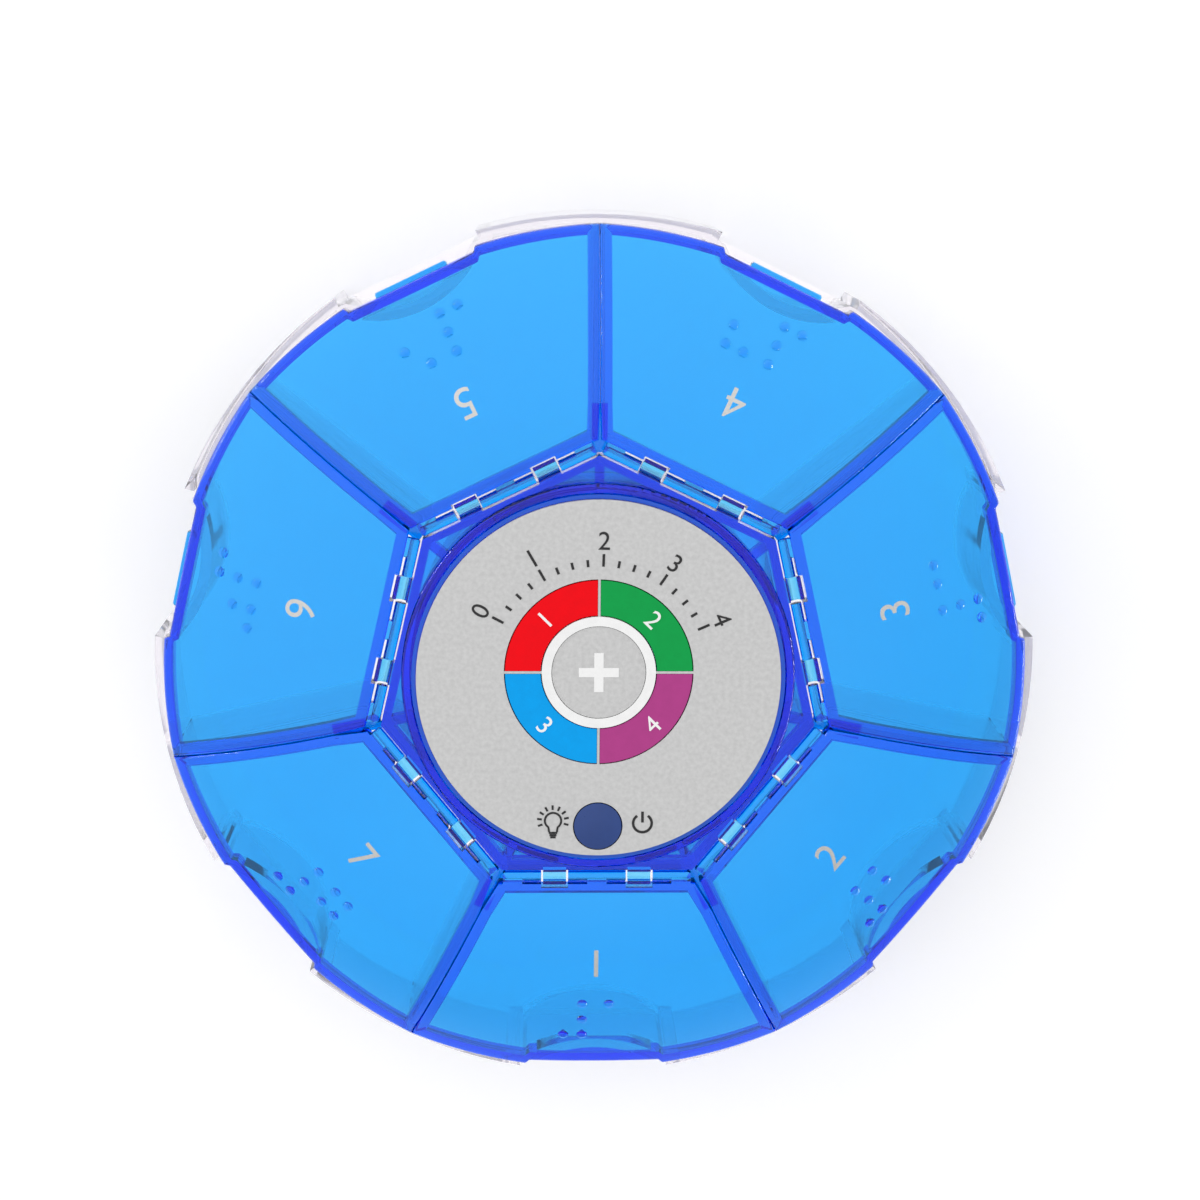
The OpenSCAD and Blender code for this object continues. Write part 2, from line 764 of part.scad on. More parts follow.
module key_guide() color([0.97, 0.97, 0.97]) at_dial() difference() {
    union() {
        translate([0, 0, guide_z]) cylinder(r = guide_r, h = guide_t);
        translate([0, 0, guide_z]) cylinder(r = ring_r, h = face_top_z + ring_lip - guide_z);
    }
    translate([0, 0, face_top_z - disc_t]) cylinder(r = disc_r + key_fit / 2, h = far);
    for (a = key_angles) rotate(a) translate([key_place_r, 0, guide_z - over])
        cylinder(r = stem_d / 2 + key_fit, h = guide_t + 2 * over);
}

module centre_plate() color([0.8, 0.8, 0.8]) at_dial()
    translate([0, 0, face_top_z - disc_t]) cylinder(r = disc_r, h = disc_t);

// One quarter of the ring of keys, with its flange and its stem
module key(diagonal, tint) color(tint) at_dial() {
    intersection() {
        union() {
            tube(keys_r, key_in_r, key_flange_z, face_top_z);
            tube(key_flange_r, key_in_r, key_flange_z, face_z - rub_gap);
        }
        rotate(diagonal - 45) translate([key_gap / 2, key_gap / 2, 0]) cube(far);
    }
    rotate(diagonal) translate([key_place_r, 0, stem_z])
        cylinder(r = stem_d / 2, h = key_flange_z + eps - stem_z);
}

module power_button() color([0.18, 0.27, 0.5]) {
    at_button() rotate_extrude() intersection() {
        translate([0, face_top_z + button_dome - button_cap_rho]) circle(r = button_cap_rho, $fn = 180);
        translate([0, button_flange_z]) square([button_r, far]);
    }
    difference() {
        intersection() {
            at_button() translate([0, 0, button_flange_z])
                cylinder(r = button_flange_r, h = roof_z - rub_gap - button_flange_z);
            cylinder(r = case_in_r - seat_gap, h = far);
        }
        guide_room();
    }
}

module circuit_board() color([0.1, 0.45, 0.25]) difference() {
    translate([0, 0, board_z]) cylinder(r = board_r, h = board_t, $fn = 180);
    at_screws() translate([0, 0, board_z - over])
        cylinder(r = screw_r + screw_clear, h = board_t + 2 * over);
}

// Square push switch with a round plunger, standing on the board
module push_switch() translate([0, 0, board_top_z]) {
    translate([-switch_w / 2, -switch_w / 2, 0]) cube([switch_w, switch_w, switch_h - plunger_h]);
    cylinder(r = plunger_r, h = switch_h);
}

module key_switches() color([0.2, 0.2, 0.22]) at_keys() rotate(45) push_switch();

module power_switch() color([0.2, 0.2, 0.22]) translate([0, -power_switch_y, 0]) push_switch();

module indicator_led() color([0.95, 0.95, 1]) translate([led_x, led_in - board_r, board_top_z]) {
    cylinder(r = led_d / 2 + led_rim_w, h = led_rim_h);
    cylinder(r = led_d / 2, h = led_h);
    translate([0, 0, led_h]) sphere(r = led_d / 2);
}

module controller_chip() color([0.1, 0.1, 0.11]) at_dial()
    translate([-chip_w / 2, -chip_w / 2, board_top_z]) cube([chip_w, chip_w, chip_h]);

module timing_crystal() color([0.75, 0.75, 0.78])
    translate([board_r - crystal_in, crystal_y, board_top_z + crystal_d / 2])
        rotate([90, 0, 0]) cylinder(r = crystal_d / 2, h = crystal_l, center = true);

module smoothing_capacitor() color([0.15, 0.15, 0.35])
    translate([capacitor_in - board_r, capacitor_y, board_top_z])
        cylinder(r = capacitor_d / 2, h = capacitor_h);

module buzzer() color([0.12, 0.12, 0.12]) at_buzzer() translate([0, 0, board_z - buzzer_h]) difference() {
    cylinder(r = buzzer_r, h = buzzer_h);
    translate([0, 0, -over]) cylinder(r = buzzer_hole_r, h = 2 * over);
}

module coin_cell() color([0.8, 0.8, 0.82]) translate([0, 0, cell_z]) {
    cylinder(r = cell_d / 2, h = cell_t - cell_cap_h);
    cylinder(r = cell_d / 2 - cell_cap_inset, h = cell_t);
}

// Side contact that stands in the bay's slot and turns onto the board
module contact_plus() color([0.85, 0.8, 0.55]) rotate(contact_angle)
    translate([cell_d / 2 + rub_gap, -contact_w / 2, 0]) {
        translate([0, 0, cell_z + seat_gap])
            cube([contact_t, contact_w, board_z - cell_z - seat_gap]);
        translate([0, 0, board_z - contact_t]) cube([contact_foot, contact_w, contact_t]);
    }

// Spring strip that runs from the board down onto the top of the cell
module contact_minus() color([0.85, 0.8, 0.55]) translate([0, contact_w / 2, 0]) rotate([90, 0, 0])
    linear_extrude(contact_w) polygon([
        [-spring_reach, board_z],
        [-spring_reach, board_z - contact_t],
        [spring_foot - spring_reach, board_z - contact_t],
        [spring_reach, bay_top_z + rub_gap],
        [spring_reach + spring_tip, bay_top_z + rub_gap],
        [spring_reach + spring_tip, bay_top_z + rub_gap + contact_t],
        [spring_reach, bay_top_z + rub_gap + contact_t],
        [spring_foot - spring_reach, board_z]]);

module battery_door() color(deep_blue) difference() {
    union() {
        translate([0, 0, timer_z]) cylinder(r = door_r, h = door_t + tab_t);
        intersection() {
            tube(door_r + tab_out, door_r - over, tab_z, tab_z + tab_t);
            for (a = [0, 180]) rotate(a) tab_wedge(tab_angle);
        }
    }
    translate([-door_slot_l / 2, -door_slot_w / 2, timer_z - over])
        cube([door_slot_l, door_slot_w, door_slot_depth + over]);
}

module case_screws() color([0.75, 0.75, 0.78]) at_screws()
    translate([0, 0, board_top_z - screw_grip]) difference() {
        union() {
            cylinder(r = screw_r, h = screw_l);
            translate([0, 0, -head_h]) cylinder(r = head_r, h = head_h);
        }
        translate([0, 0, -head_h]) {
            cube([2 * screw_r, head_slot_w, head_h], center = true);
            cube([head_slot_w, 2 * screw_r, head_h], center = true);
        }
    }

tray();
hub_frame();
lid(1);  // lid_1
lid(2);  // lid_2
lid(3);  // lid_3
lid(4);  // lid_4
lid(5);  // lid_5
lid(6);  // lid_6
lid(7);  // lid_7
timer_case_top();
timer_case_bottom();
face_plate();
key_guide();
centre_plate();
key(key_angles[0], [0.96, 0, 0.06]);  // key_1
key(key_angles[1], [0.02, 0.63, 0.29]);  // key_2
key(key_angles[2], [0, 0.63, 0.94]);  // key_3
key(key_angles[3], [0.69, 0.25, 0.54]);  // key_4
power_button();
circuit_board();
key_switches();
power_switch();
indicator_led();
controller_chip();
timing_crystal();
smoothing_capacitor();
buzzer();
coin_cell();
contact_plus();
contact_minus();
battery_door();
case_screws();
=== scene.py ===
"""Looks of a round seven day pill box with a lift-out reminder timer."""

import json
import math

import bmesh
import bpy
from mathutils import Matrix, Vector


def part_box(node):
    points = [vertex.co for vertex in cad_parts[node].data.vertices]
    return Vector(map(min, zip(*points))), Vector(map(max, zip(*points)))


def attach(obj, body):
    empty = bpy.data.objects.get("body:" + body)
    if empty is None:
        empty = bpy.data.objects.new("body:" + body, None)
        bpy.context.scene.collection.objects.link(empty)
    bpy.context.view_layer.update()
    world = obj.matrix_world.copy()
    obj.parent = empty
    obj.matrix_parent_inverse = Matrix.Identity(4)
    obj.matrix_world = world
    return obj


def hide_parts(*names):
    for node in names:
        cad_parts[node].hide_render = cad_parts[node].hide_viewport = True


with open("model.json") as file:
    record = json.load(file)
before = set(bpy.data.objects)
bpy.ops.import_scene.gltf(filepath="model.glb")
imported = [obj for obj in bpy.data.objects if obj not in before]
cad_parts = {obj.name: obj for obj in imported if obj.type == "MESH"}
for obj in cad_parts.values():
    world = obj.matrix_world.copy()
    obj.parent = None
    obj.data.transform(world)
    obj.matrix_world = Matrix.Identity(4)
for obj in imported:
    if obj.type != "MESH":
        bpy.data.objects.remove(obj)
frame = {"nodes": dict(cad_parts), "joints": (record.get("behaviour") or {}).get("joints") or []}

bl_info = {
    "name": "Seven Day Pill Box",
    "version": (1, 0, 0),
    "blender": (4, 5, 0),
    "location": "3D View > Sidebar > Pill Box",
    "description": "Builds the looks of a round pill box with a reminder timer",
    "category": "Add Mesh",
}

MM = 0.001
LIDS = 7
HALF = math.pi / LIDS
FIRST_LID = -math.pi / 2
HAIR = 0.02 * MM

JOINTS = {joint["name"]: joint for joint in frame["joints"]}
HINGE = Vector(JOINTS["lid_1_hinge"]["pos_m"])
HUB_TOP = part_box("lid_1")[1].z
LID_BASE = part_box("lid_1")[0].z
FACE_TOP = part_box("face_plate")[1].z
KEY_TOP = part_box("key_1")[1].z
DIAL = (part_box("centre_plate")[0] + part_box("centre_plate")[1]) / 2
BUTTON = (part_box("power_button")[0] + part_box("power_button")[1]) / 2
PLATE_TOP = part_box("centre_plate")[1].z


def length(name, description, millimetres):
    """A size property, in metres."""
    return bpy.props.FloatProperty(
        name=name, description=description, default=millimetres * MM, min=0, unit="LENGTH", precision=4)


def colour(name, description, rgb):
    """A linear colour property."""
    return bpy.props.FloatVectorProperty(
        name=name, description=description, default=rgb, size=3, min=0, max=1, subtype="COLOR")


def share(name, description, value, high=1.0):
    """A number property with no unit."""
    return bpy.props.FloatProperty(name=name, description=description, default=value, min=0, max=high)


def angle(name, description, degrees):
    """An angle property, in radians."""
    return bpy.props.FloatProperty(
        name=name, description=description, default=math.radians(degrees), subtype="ANGLE")


class LidSizes(bpy.types.PropertyGroup):
    """Sizes of the lids and of the hub's tabs between them."""

    radius: length("Radius", "From the centre to a lid's outer corners", 57)
    dome_flat: length("Level radius", "Radius inside which the lids are level", 30)
    dome_rise: length("Dome rise", "Rise of the dome from the outer edge to the hub", 8)
    skin: length("Skin", "Thickness of the skin", 1.2)
    rim_w: length("Rim width", "Width of the thick rim under the skin", 1.5)
    rim_h: length("Rim height", "Height of the rim below the surface", 2.6)
    side_lift: length("Side lift", "How far the side rims stay above the tray's walls", 0.15)
    seam: length("Seam", "Gap between neighbouring lids", 0.06)
    start: length("Start", "Distance from the centre to a lid's inner edge", 27.56)
    flatten: length("Flattening", "How far the middle of the edge falls inside a circle", 0.8)
    flat_x: length("Flat distance", "Distance from the centre to the finger flat", 54.9)
    flat_w: length("Flat width", "Width of the finger flat", 18)
    step_w: length("Step", "Width over which the edge steps out beside the flat", 0.7)
    corner_w: length("Corner cut", "Width cut from a lid's inner corners", 0.15)
    shared_corner_w: length("Shared corner cut", "The same for lids 1 and 7, which open together", 0.45)
    corner_l: length("Corner cut length", "Length of the corner cut along the side", 4)
    rounding: length("Rounding", "Radius of the upper edges", 0.35)
    lip_w: length("Lip width", "Width of the thumb lip", 10)
    lip_out: length("Lip reach", "How far the thumb lip stands out", 0.6)
    lip_h: length("Lip height", "Height of the thumb lip", 1.4)
    rod_r: length("Rod radius", "Radius of the hinge rod", 0.7)
    rod_l: length("Rod length", "Length of the hinge rod", 24.4)
    web_w: length("Web width", "Width of the webs between rod and lid", 2.5)
    web_h: length("Web height", "Height of the webs", 1.2)
    clip_spread: length("Clip spread", "Distance between the clip notches", 11)
    clip_w: length("Notch width", "Width of a clip notch", 3.5)
    clip_x: length("Notch end", "Distance from the centre to a notch's end", 28.11)
    dot_r: length("Dot radius", "Radius of the ball that a tactile dot is part of", 0.8)
    dot_h: length("Dot height", "Height of a tactile dot", 0.4)
    dot_pitch: length("Dot pitch", "Distance between dots", 2.5)
    cell_pitch: length("Cell pitch", "Distance between groups of dots", 6)
    dots_x: length("Dots distance", "Distance from the centre to the middle row of dots", 47.4)
    tab_in: length("Tab start", "From the centre to the hub's corner tabs", 28.6)
    tab_out: length("Tab end", "From the centre to the outer end of those tabs", 34.8)
    tab_w: length("Tab width", "Width of the hub's corner tabs", 2)
    tab_t: length("Tab thickness", "Thickness of the hub's corner tabs", 0.14)
    tab_gap: length("Tab gap", "Gap between the tabs and the lids' rims", 0.08)


class PrintSizes(bpy.types.PropertyGroup):
    """Sizes of the printed marks."""

    thickness: length("Thickness", "Thickness of the print", 0.05)
    number_h: length("Lid number height", "Height of the numbers on the lids", 3.9)
    number_x: length("Lid number distance", "Distance from the centre to a lid's number", 38.8)
    key_h: length("Key number height", "Height of the numbers on the keys", 2.3)
    key_r: length("Key number distance", "Distance from the dial's centre to a key's number", 9.7)
    plus_l: length("Plus length", "Length of the plus on the centre plate", 5.07)
    plus_w: length("Plus width", "Width of the plus's arms", 1.18)
    line: length("Line", "Width of the thin lines", 0.33)
    scale_r: length("Scale radius", "Radius at which the scale's ticks start", 13.7)
    scale_first: angle("Scale start", "Angle of the scale's first tick", 152)
    scale_last: angle("Scale end", "Angle of the scale's last tick", 24)
    tick: length("Tick", "Length of a short tick", 0.9)
    long_tick: length("Long tick", "Length of a long tick", 1.6)
    scale_h: length("Scale number height", "Height of the scale's numbers", 2.3)
    scale_number_r: length("Scale number radius", "Radius at which the numbers stand", 17.0)
    symbol_x: length("Symbol distance", "Distance of the symbols from the button", 5.75)
    power_r: length("Power ring", "Radius of the power symbol's ring", 1.2)
    bulb_r: length("Bulb radius", "Radius of the lamp symbol's bulb", 1.05)
    bulb_rise: length("Bulb rise", "How far the bulb's centre stands above the button's", 0.35)
    spoke_w: length("Spoke width", "Width of the bars between the keys", 0.32)
    spoke_in: length("Spoke start", "From the dial's centre to the start of the bars", 7)
    spoke_out: length("Spoke end", "From the dial's centre to the end of the bars", 12.1)


class Plastics(bpy.types.PropertyGroup):
    """Colours of the plastics and prints."""

    lid_take: share("Lid absorption", "How strongly the lid plastic takes light", 3500, 1e5)
    tab_take: share("Tab absorption", "How strongly the thin tabs' plastic takes light", 45000, 1e5)
    tray_take: share("Tray absorption", "How strongly the clear tray takes light", 65, 1e5)
    tray_tint: colour("Tray tint", "What the thick walls of the tray let through", (0.87, 0.86, 0.9))
    tray_tone: colour("Tray tone", "What each face of the tray lets through", (0.97, 0.955, 0.97))
    lid_blue: colour("Lid blue", "What the lid plastic lets through", (0.0, 0.8, 0.9965))
    hub_blue: colour("Hub blue", "What the hub plastic lets through", (0.0, 0.78, 0.994))
    case_blue: colour("Case blue", "What the timer's case lets through", (0.0, 0.72, 0.986))
    case_tone: colour("Case pigment", "Pigment of the timer's case", (0.01, 0.16, 0.95))
    silver: colour("Silver", "Lacquer of the face", (0.6, 0.6, 0.6))
    ink: colour("Ink", "Dark print on the face", (0.008, 0.008, 0.009))
    foil: colour("Foil", "Silver print on the lids", (0.64, 0.64, 0.63))
    white: colour("White", "White of the ring and the key numbers", (0.9, 0.9, 0.9))
    red: colour("Red", "First key", (0.9, 0.0, 0.006))
    green: colour("Green", "Second key", (0.004, 0.35, 0.07))
    cyan: colour("Cyan", "Third key", (0.0, 0.36, 0.87))
    purple: colour("Purple", "Fourth key", (0.44, 0.053, 0.25))
    navy: colour("Navy", "Power button", (0.026, 0.06, 0.22))
    board: colour("Board", "Circuit board", (0.02, 0.2, 0.08))
    black: colour("Black", "Switches, chip and buzzer", (0.02, 0.02, 0.022))
    milky: colour("Milky", "Body of the small lamp", (0.85, 0.86, 0.9))
    steel: colour("Steel", "Cell, crystal and screws", (0.62, 0.62, 0.63))
    sleeve: colour("Sleeve", "Capacitor's sleeve", (0.03, 0.03, 0.14))
    brass: colour("Brass", "Battery contacts", (0.85, 0.66, 0.35))


class StageSizes(bpy.types.PropertyGroup):
    """Camera and lights."""

    camera_x: bpy.props.FloatProperty(
        name="Camera X", description="Camera's place along X", default=-9.148 * MM, unit="LENGTH")
    camera_y: length("Camera Y", "Camera's place along Y", 70.806)
    camera_z: length("Camera Z", "Camera's height", 324.279)
    camera_tilt: angle("Camera tilt", "Turn about X", -11.5874)
    camera_pan: angle("Camera pan", "Turn about Y", -1.7071)
    camera_roll: angle("Camera roll", "Turn about Z", 0.4182)
    lens: bpy.props.FloatProperty(
        name="Lens", description="Focal length of the camera", default=71.612, unit="CAMERA")
    sky: share("Sky", "Strength of the surrounding light", 0.62, 10)
    sky_side: share("Sky side", "How much stronger the sky is on its bright side", 0.8, 10)
    sky_glow: share("Sky glow", "How much stronger the sky is at the horizon", 0.7, 10)
    side_watts: share("Side lamp", "Watts of the lamp on the left", 3, 100)
    low_watts: share("Low lamp", "Watts of the low lamp on the right", 4.2, 100)


def settings():
    """The values that the operators build from."""
    scene = bpy.context.scene
    return scene.pill_lids, scene.pill_prints, scene.pill_plastics, scene.pill_stage


# Meshes

def new_object(name, data):
    """Links a new object that holds the data."""
    piece = bpy.data.objects.new(name, data)
    bpy.context.scene.collection.objects.link(piece)
    return piece


def mesh_object(name, points, faces):
    """A mesh object with its faces turned outward."""
    mesh = bpy.data.meshes.new(name)
    mesh.from_pydata([tuple(p) for p in points], [], faces)
    shape = bmesh.new()
    shape.from_mesh(mesh)
    bmesh.ops.recalc_face_normals(shape, faces=shape.faces)
    shape.to_mesh(mesh)
    shape.free()
    return new_object(name, mesh)


def bmesh_object(name, shape):
    """A mesh object made from a bmesh, which is freed."""
    bmesh.ops.recalc_face_normals(shape, faces=shape.faces)
    mesh = bpy.data.meshes.new(name)
    shape.to_mesh(mesh)
    shape.free()
    return new_object(name, mesh)


def block(name, low, high):
    """A plain block between two corners, for cutting and joining."""
    shape = bmesh.new()
    bmesh.ops.create_cube(shape, size=1)
    for vertex in shape.verts:
        vertex.co = Vector(h if c > 0 else l for c, l, h in zip(vertex.co, low, high))
    return bmesh_object(name, shape)


def apply_modifiers(piece):
    """Turns the piece's modifiers into its own mesh."""
    bpy.context.view_layer.update()
    graph = bpy.context.evaluated_depsgraph_get()
    old = piece.data
    piece.data = bpy.data.meshes.new_from_object(piece.evaluated_get(graph))
    piece.modifiers.clear()
    bpy.data.meshes.remove(old)


def combine(piece, tools, operation):
    """Joins tools to the piece or cuts them from it."""
    for tool in tools:
        step = piece.modifiers.new(operation.lower(), "BOOLEAN")
        step.operation = operation
        step.solver = "MANIFOLD"
        step.object = tool
    apply_modifiers(piece)
    for tool in tools:
        bpy.data.objects.remove(tool)


def smooth(piece, degrees=32):
    """Smooth faces that break only at sharp edges."""
    piece.data.shade_smooth()
    piece.data.set_sharp_from_angle(angle=math.radians(degrees))


def coat(piece, *materials):
    """Gives the piece its materials, in place of any that it has."""
    piece.data.materials.clear()
    for material in materials:
        piece.data.materials.append(material)


# Materials

FINE_GRAIN = 0.01 * MM
MOULD_WAVE = 0.02 * MM
FACE_SHARE = 0.95
PLASTIC_IOR = 1.49
WELD = 1e-6


def node_material(name):
    """A new material with only its output, and the helpers to fill it."""
    material = bpy.data.materials.new(name)
    material.use_nodes = True
    tree = material.node_tree
    tree.nodes.clear()
    output = tree.nodes.new("ShaderNodeOutputMaterial")
    return material, tree, output


def grain(tree, scale, detail=2.0):
    """Noise over the piece, in the space of the part."""
    place = tree.nodes.new("ShaderNodeTexCoord")
    noise = tree.nodes.new("ShaderNodeTexNoise")
    noise.inputs["Scale"].default_value = scale
    noise.inputs["Detail"].default_value = detail
    tree.links.new(place.outputs["Object"], noise.inputs["Vector"])
    return noise.outputs["Fac"]


def spread(tree, factor, low, high):
    """Maps noise to the numbers between low and high."""
    node = tree.nodes.new("ShaderNodeMapRange")
    node.inputs["From Min"].default_value = 0.3
    node.inputs["From Max"].default_value = 0.7
    node.inputs["To Min"].default_value = low
    node.inputs["To Max"].default_value = high
    tree.links.new(factor, node.inputs["Value"])
    return node.outputs["Result"]


def shades(tree, factor, rgb, contrast):
    """A colour that wanders by a share either side of itself."""
    ramp = tree.nodes.new("ShaderNodeValToRGB")
    ramp.color_ramp.elements[0].position = 0.3
    ramp.color_ramp.elements[1].position = 0.7
    for element, side in zip(ramp.color_ramp.elements, (-1, 1)):
        element.color = (*(min(1, c * (1 + side * contrast)) for c in rgb), 1)
    tree.links.new(factor, ramp.inputs["Fac"])
    return ramp.outputs["Color"]


def bumps(tree, factor, depth):
    """A normal from noise, with depth in metres."""
    bump = tree.nodes.new("ShaderNodeBump")
    bump.inputs["Distance"].default_value = depth
    tree.links.new(factor, bump.inputs["Height"])
    return bump.outputs["Normal"]


def solid_material(name, rgb, rough, scale=900, contrast=0.03, metal=0.0, coat_share=0.0, sheen=0.5):
    """Opaque plastic, lacquer, ink or metal with a fine grain."""
    material, tree, output = node_material(name)
    shader = tree.nodes.new("ShaderNodeBsdfPrincipled")
    noise = grain(tree, scale)
    tree.links.new(shades(tree, noise, rgb, contrast), shader.inputs["Base Color"])
    tree.links.new(spread(tree, noise, rough * 0.9, min(1, rough * 1.1)), shader.inputs["Roughness"])
    tree.links.new(bumps(tree, noise, FINE_GRAIN), shader.inputs["Normal"])
    shader.inputs["Metallic"].default_value = metal
    shader.inputs["Coat Weight"].default_value = coat_share
    shader.inputs["Specular IOR Level"].default_value = sheen
    tree.links.new(shader.outputs[0], output.inputs["Surface"])
    return material


def clear_material(name, tint, take, rough=0.02, tone=(1, 1, 1), body=0.0):
    """Moulded plastic that takes light by its thickness; body is the share that is pigment."""
    material, tree, output = node_material(name)
    shader = tree.nodes.new("ShaderNodeBsdfPrincipled")
    shader.inputs["Base Color"].default_value = (*tone, 1)
    shader.inputs["Roughness"].default_value = rough
    shader.inputs["IOR"].default_value = PLASTIC_IOR
    shader.inputs["Transmission Weight"].default_value = 1 - body
    tree.links.new(bumps(tree, grain(tree, 120), MOULD_WAVE), shader.inputs["Normal"])
    path = tree.nodes.new("ShaderNodeLightPath")
    passing = tree.nodes.new("ShaderNodeBsdfTransparent")
    passing.inputs["Color"].default_value = (*(FACE_SHARE * c for c in tone), 1)
    mix = tree.nodes.new("ShaderNodeMixShader")
    tree.links.new(path.outputs["Is Shadow Ray"], mix.inputs[0])
    tree.links.new(shader.outputs[0], mix.inputs[1])
    tree.links.new(passing.outputs[0], mix.inputs[2])
    tree.links.new(mix.outputs[0], output.inputs["Surface"])
    inside = tree.nodes.new("ShaderNodeVolumeAbsorption")
    inside.inputs["Color"].default_value = (*tint, 1)
    inside.inputs["Density"].default_value = take
    tree.links.new(inside.outputs[0], output.inputs["Volume"])
    return material


def dress(names, material):
    """Gives CAD nodes a material and smooth round faces, split at sharp edges."""
    for name in names:
        node = frame["nodes"][name]
        coat(node, material)
        node.data.shade_smooth()
        weld = node.modifiers.new("weld", "WELD")
        weld.merge_threshold = WELD
        node.modifiers.new("normals", "EDGE_SPLIT").split_angle = math.radians(30)


# Lids

EDGE_TURNS = 4
LOWER_EDGE = 0.12 * MM
SMALL_EDGE = 0.15 * MM
TAB_STEPS = 6
SHARED_LIDS = (1, 7)
NUMBER_SIGN = (3, 4, 5, 6)
DIGIT_DOTS = ((1,), (1, 2), (1, 4), (1, 4, 5), (1, 5), (1, 2, 4), (1, 2, 4, 5))


class LidPlan:
    """Outline of a lid, with X outward from the centre and Y along the hinge."""

    ACROSS = 72
    TO_BEND = 8
    TO_CORNER = 30
    LAST_STEP = 0.998
    STEP_SHARE = 0.008

    def __init__(self, sizes, corner_w):
        self.s = sizes
        run = sizes.radius - sizes.dome_flat
        self.dome_r = (run**2 + sizes.dome_rise**2) / (2 * sizes.dome_rise)
        self.shift = sizes.flatten / (1 - math.cos(HALF))
        self.edge_r = sizes.radius + self.shift * math.cos(HALF)
        self.cut_y = self.side(sizes.start, 0) - corner_w
        end = self.side(sizes.start + sizes.corner_l, 0)
        self.slope = (end - self.cut_y) / sizes.corner_l

    def height(self, x, y):
        """Height of the surface over a point."""
        r = math.hypot(x, y)
        if r < self.s.dome_flat:
            return HUB_TOP
        return HUB_TOP - self.dome_r + math.sqrt(self.dome_r**2 - (r - self.s.dome_flat) ** 2)

    def side(self, x, inset):
        """Half width along a seam."""
        return x * math.tan(HALF) - (self.s.seam / 2 + inset) / math.cos(HALF)

    def outer_x(self, y, inset):
        """Outer edge, which steps in at the finger flat."""
        arc = math.sqrt((self.edge_r - inset) ** 2 - y**2) - self.shift
        t = min(1, max(0, (abs(y) - self.s.flat_w / 2) / self.s.step_w + 0.5))
        return (self.s.flat_x - inset) + (arc - self.s.flat_x + inset) * t * t * (3 - 2 * t)

    def corners(self, inset):
        """Inner corner, bend of the corner cut and outer corner."""
        lean = math.hypot(1, self.slope)
        x0 = self.s.start + inset
        y0 = self.cut_y + inset * self.slope - inset * lean
        off = (self.s.seam / 2 + inset) / math.cos(HALF)
        bend = (self.cut_y - self.s.start * self.slope - inset * lean + off) / (math.tan(HALF) - self.slope)
        a = 1 + math.tan(HALF) ** 2
        b = 2 * (self.shift - math.tan(HALF) * off)
        c = self.shift**2 + off**2 - (self.edge_r - inset) ** 2
        outer = (-b + math.sqrt(b * b - 4 * a * c)) / (2 * a)
        return (x0, y0), (bend, self.side(bend, inset)), (outer, self.side(outer, inset))

    def grid(self, inset):
        """Rows of points from the inner to the outer edge, from one seam to the other."""
        inner, bend, outer = self.corners(inset)
        edge = [ease * outer[1] for ease in self.across()]
        side = [lerp(inner, bend, k / self.TO_BEND) for k in range(self.TO_BEND)]
        side += [lerp(bend, outer, k / self.TO_CORNER) for k in range(self.TO_CORNER)]
        side += [lerp(bend, outer, self.LAST_STEP), outer]
        rows = []
        for point in side:
            u = (point[0] - inner[0]) / (outer[0] - inner[0])
            row = []
            for v, y in zip(self.across(), edge):
                near = (inner[0], v * inner[1])
                far = (self.outer_x(y, inset), y)
                ruled = lerp(near, far, u)
                chord = lerp((inner[0], v * inner[1]), (outer[0], v * outer[1]), u)
                row.append((point[0] + ruled[0] - chord[0], v * point[1] + ruled[1] - chord[1]))
            rows.append(row)
        return rows

    def across(self):
        """Shares of the half width, closer together where the edge steps."""
        step = self.s.flat_w / 2 / self.corners(0)[2][1]
        shares = set()
        for k in range(self.ACROSS + 1):
            shares.add(round(2 * k / self.ACROSS - 1, 5))
        for k in range(-6, 7):
            for sign in (-1, 1):
                shares.add(round(sign * (step + k * self.STEP_SHARE), 5))
        return sorted(shares)

    def low(self, x, y, on_outer):
        """Height of the underside of the rim under an edge point."""
        top = self.height(x, y)
        if on_outer:
            return LID_BASE
        return max(top - self.s.rim_h, LID_BASE + self.s.side_lift)


def lerp(a, b, t):
    """Point between two points."""
    return tuple(p + (q - p) * t for p, q in zip(a, b))


def rim_indices(rows, columns):
    """Row and column of each point round a grid's edge, in order."""
    return ([(0, j) for j in range(columns)] + [(i, columns - 1) for i in range(1, rows)]
            + [(rows - 1, j) for j in range(columns - 2, -1, -1)] + [(i, 0) for i in range(rows - 2, 0, -1)])


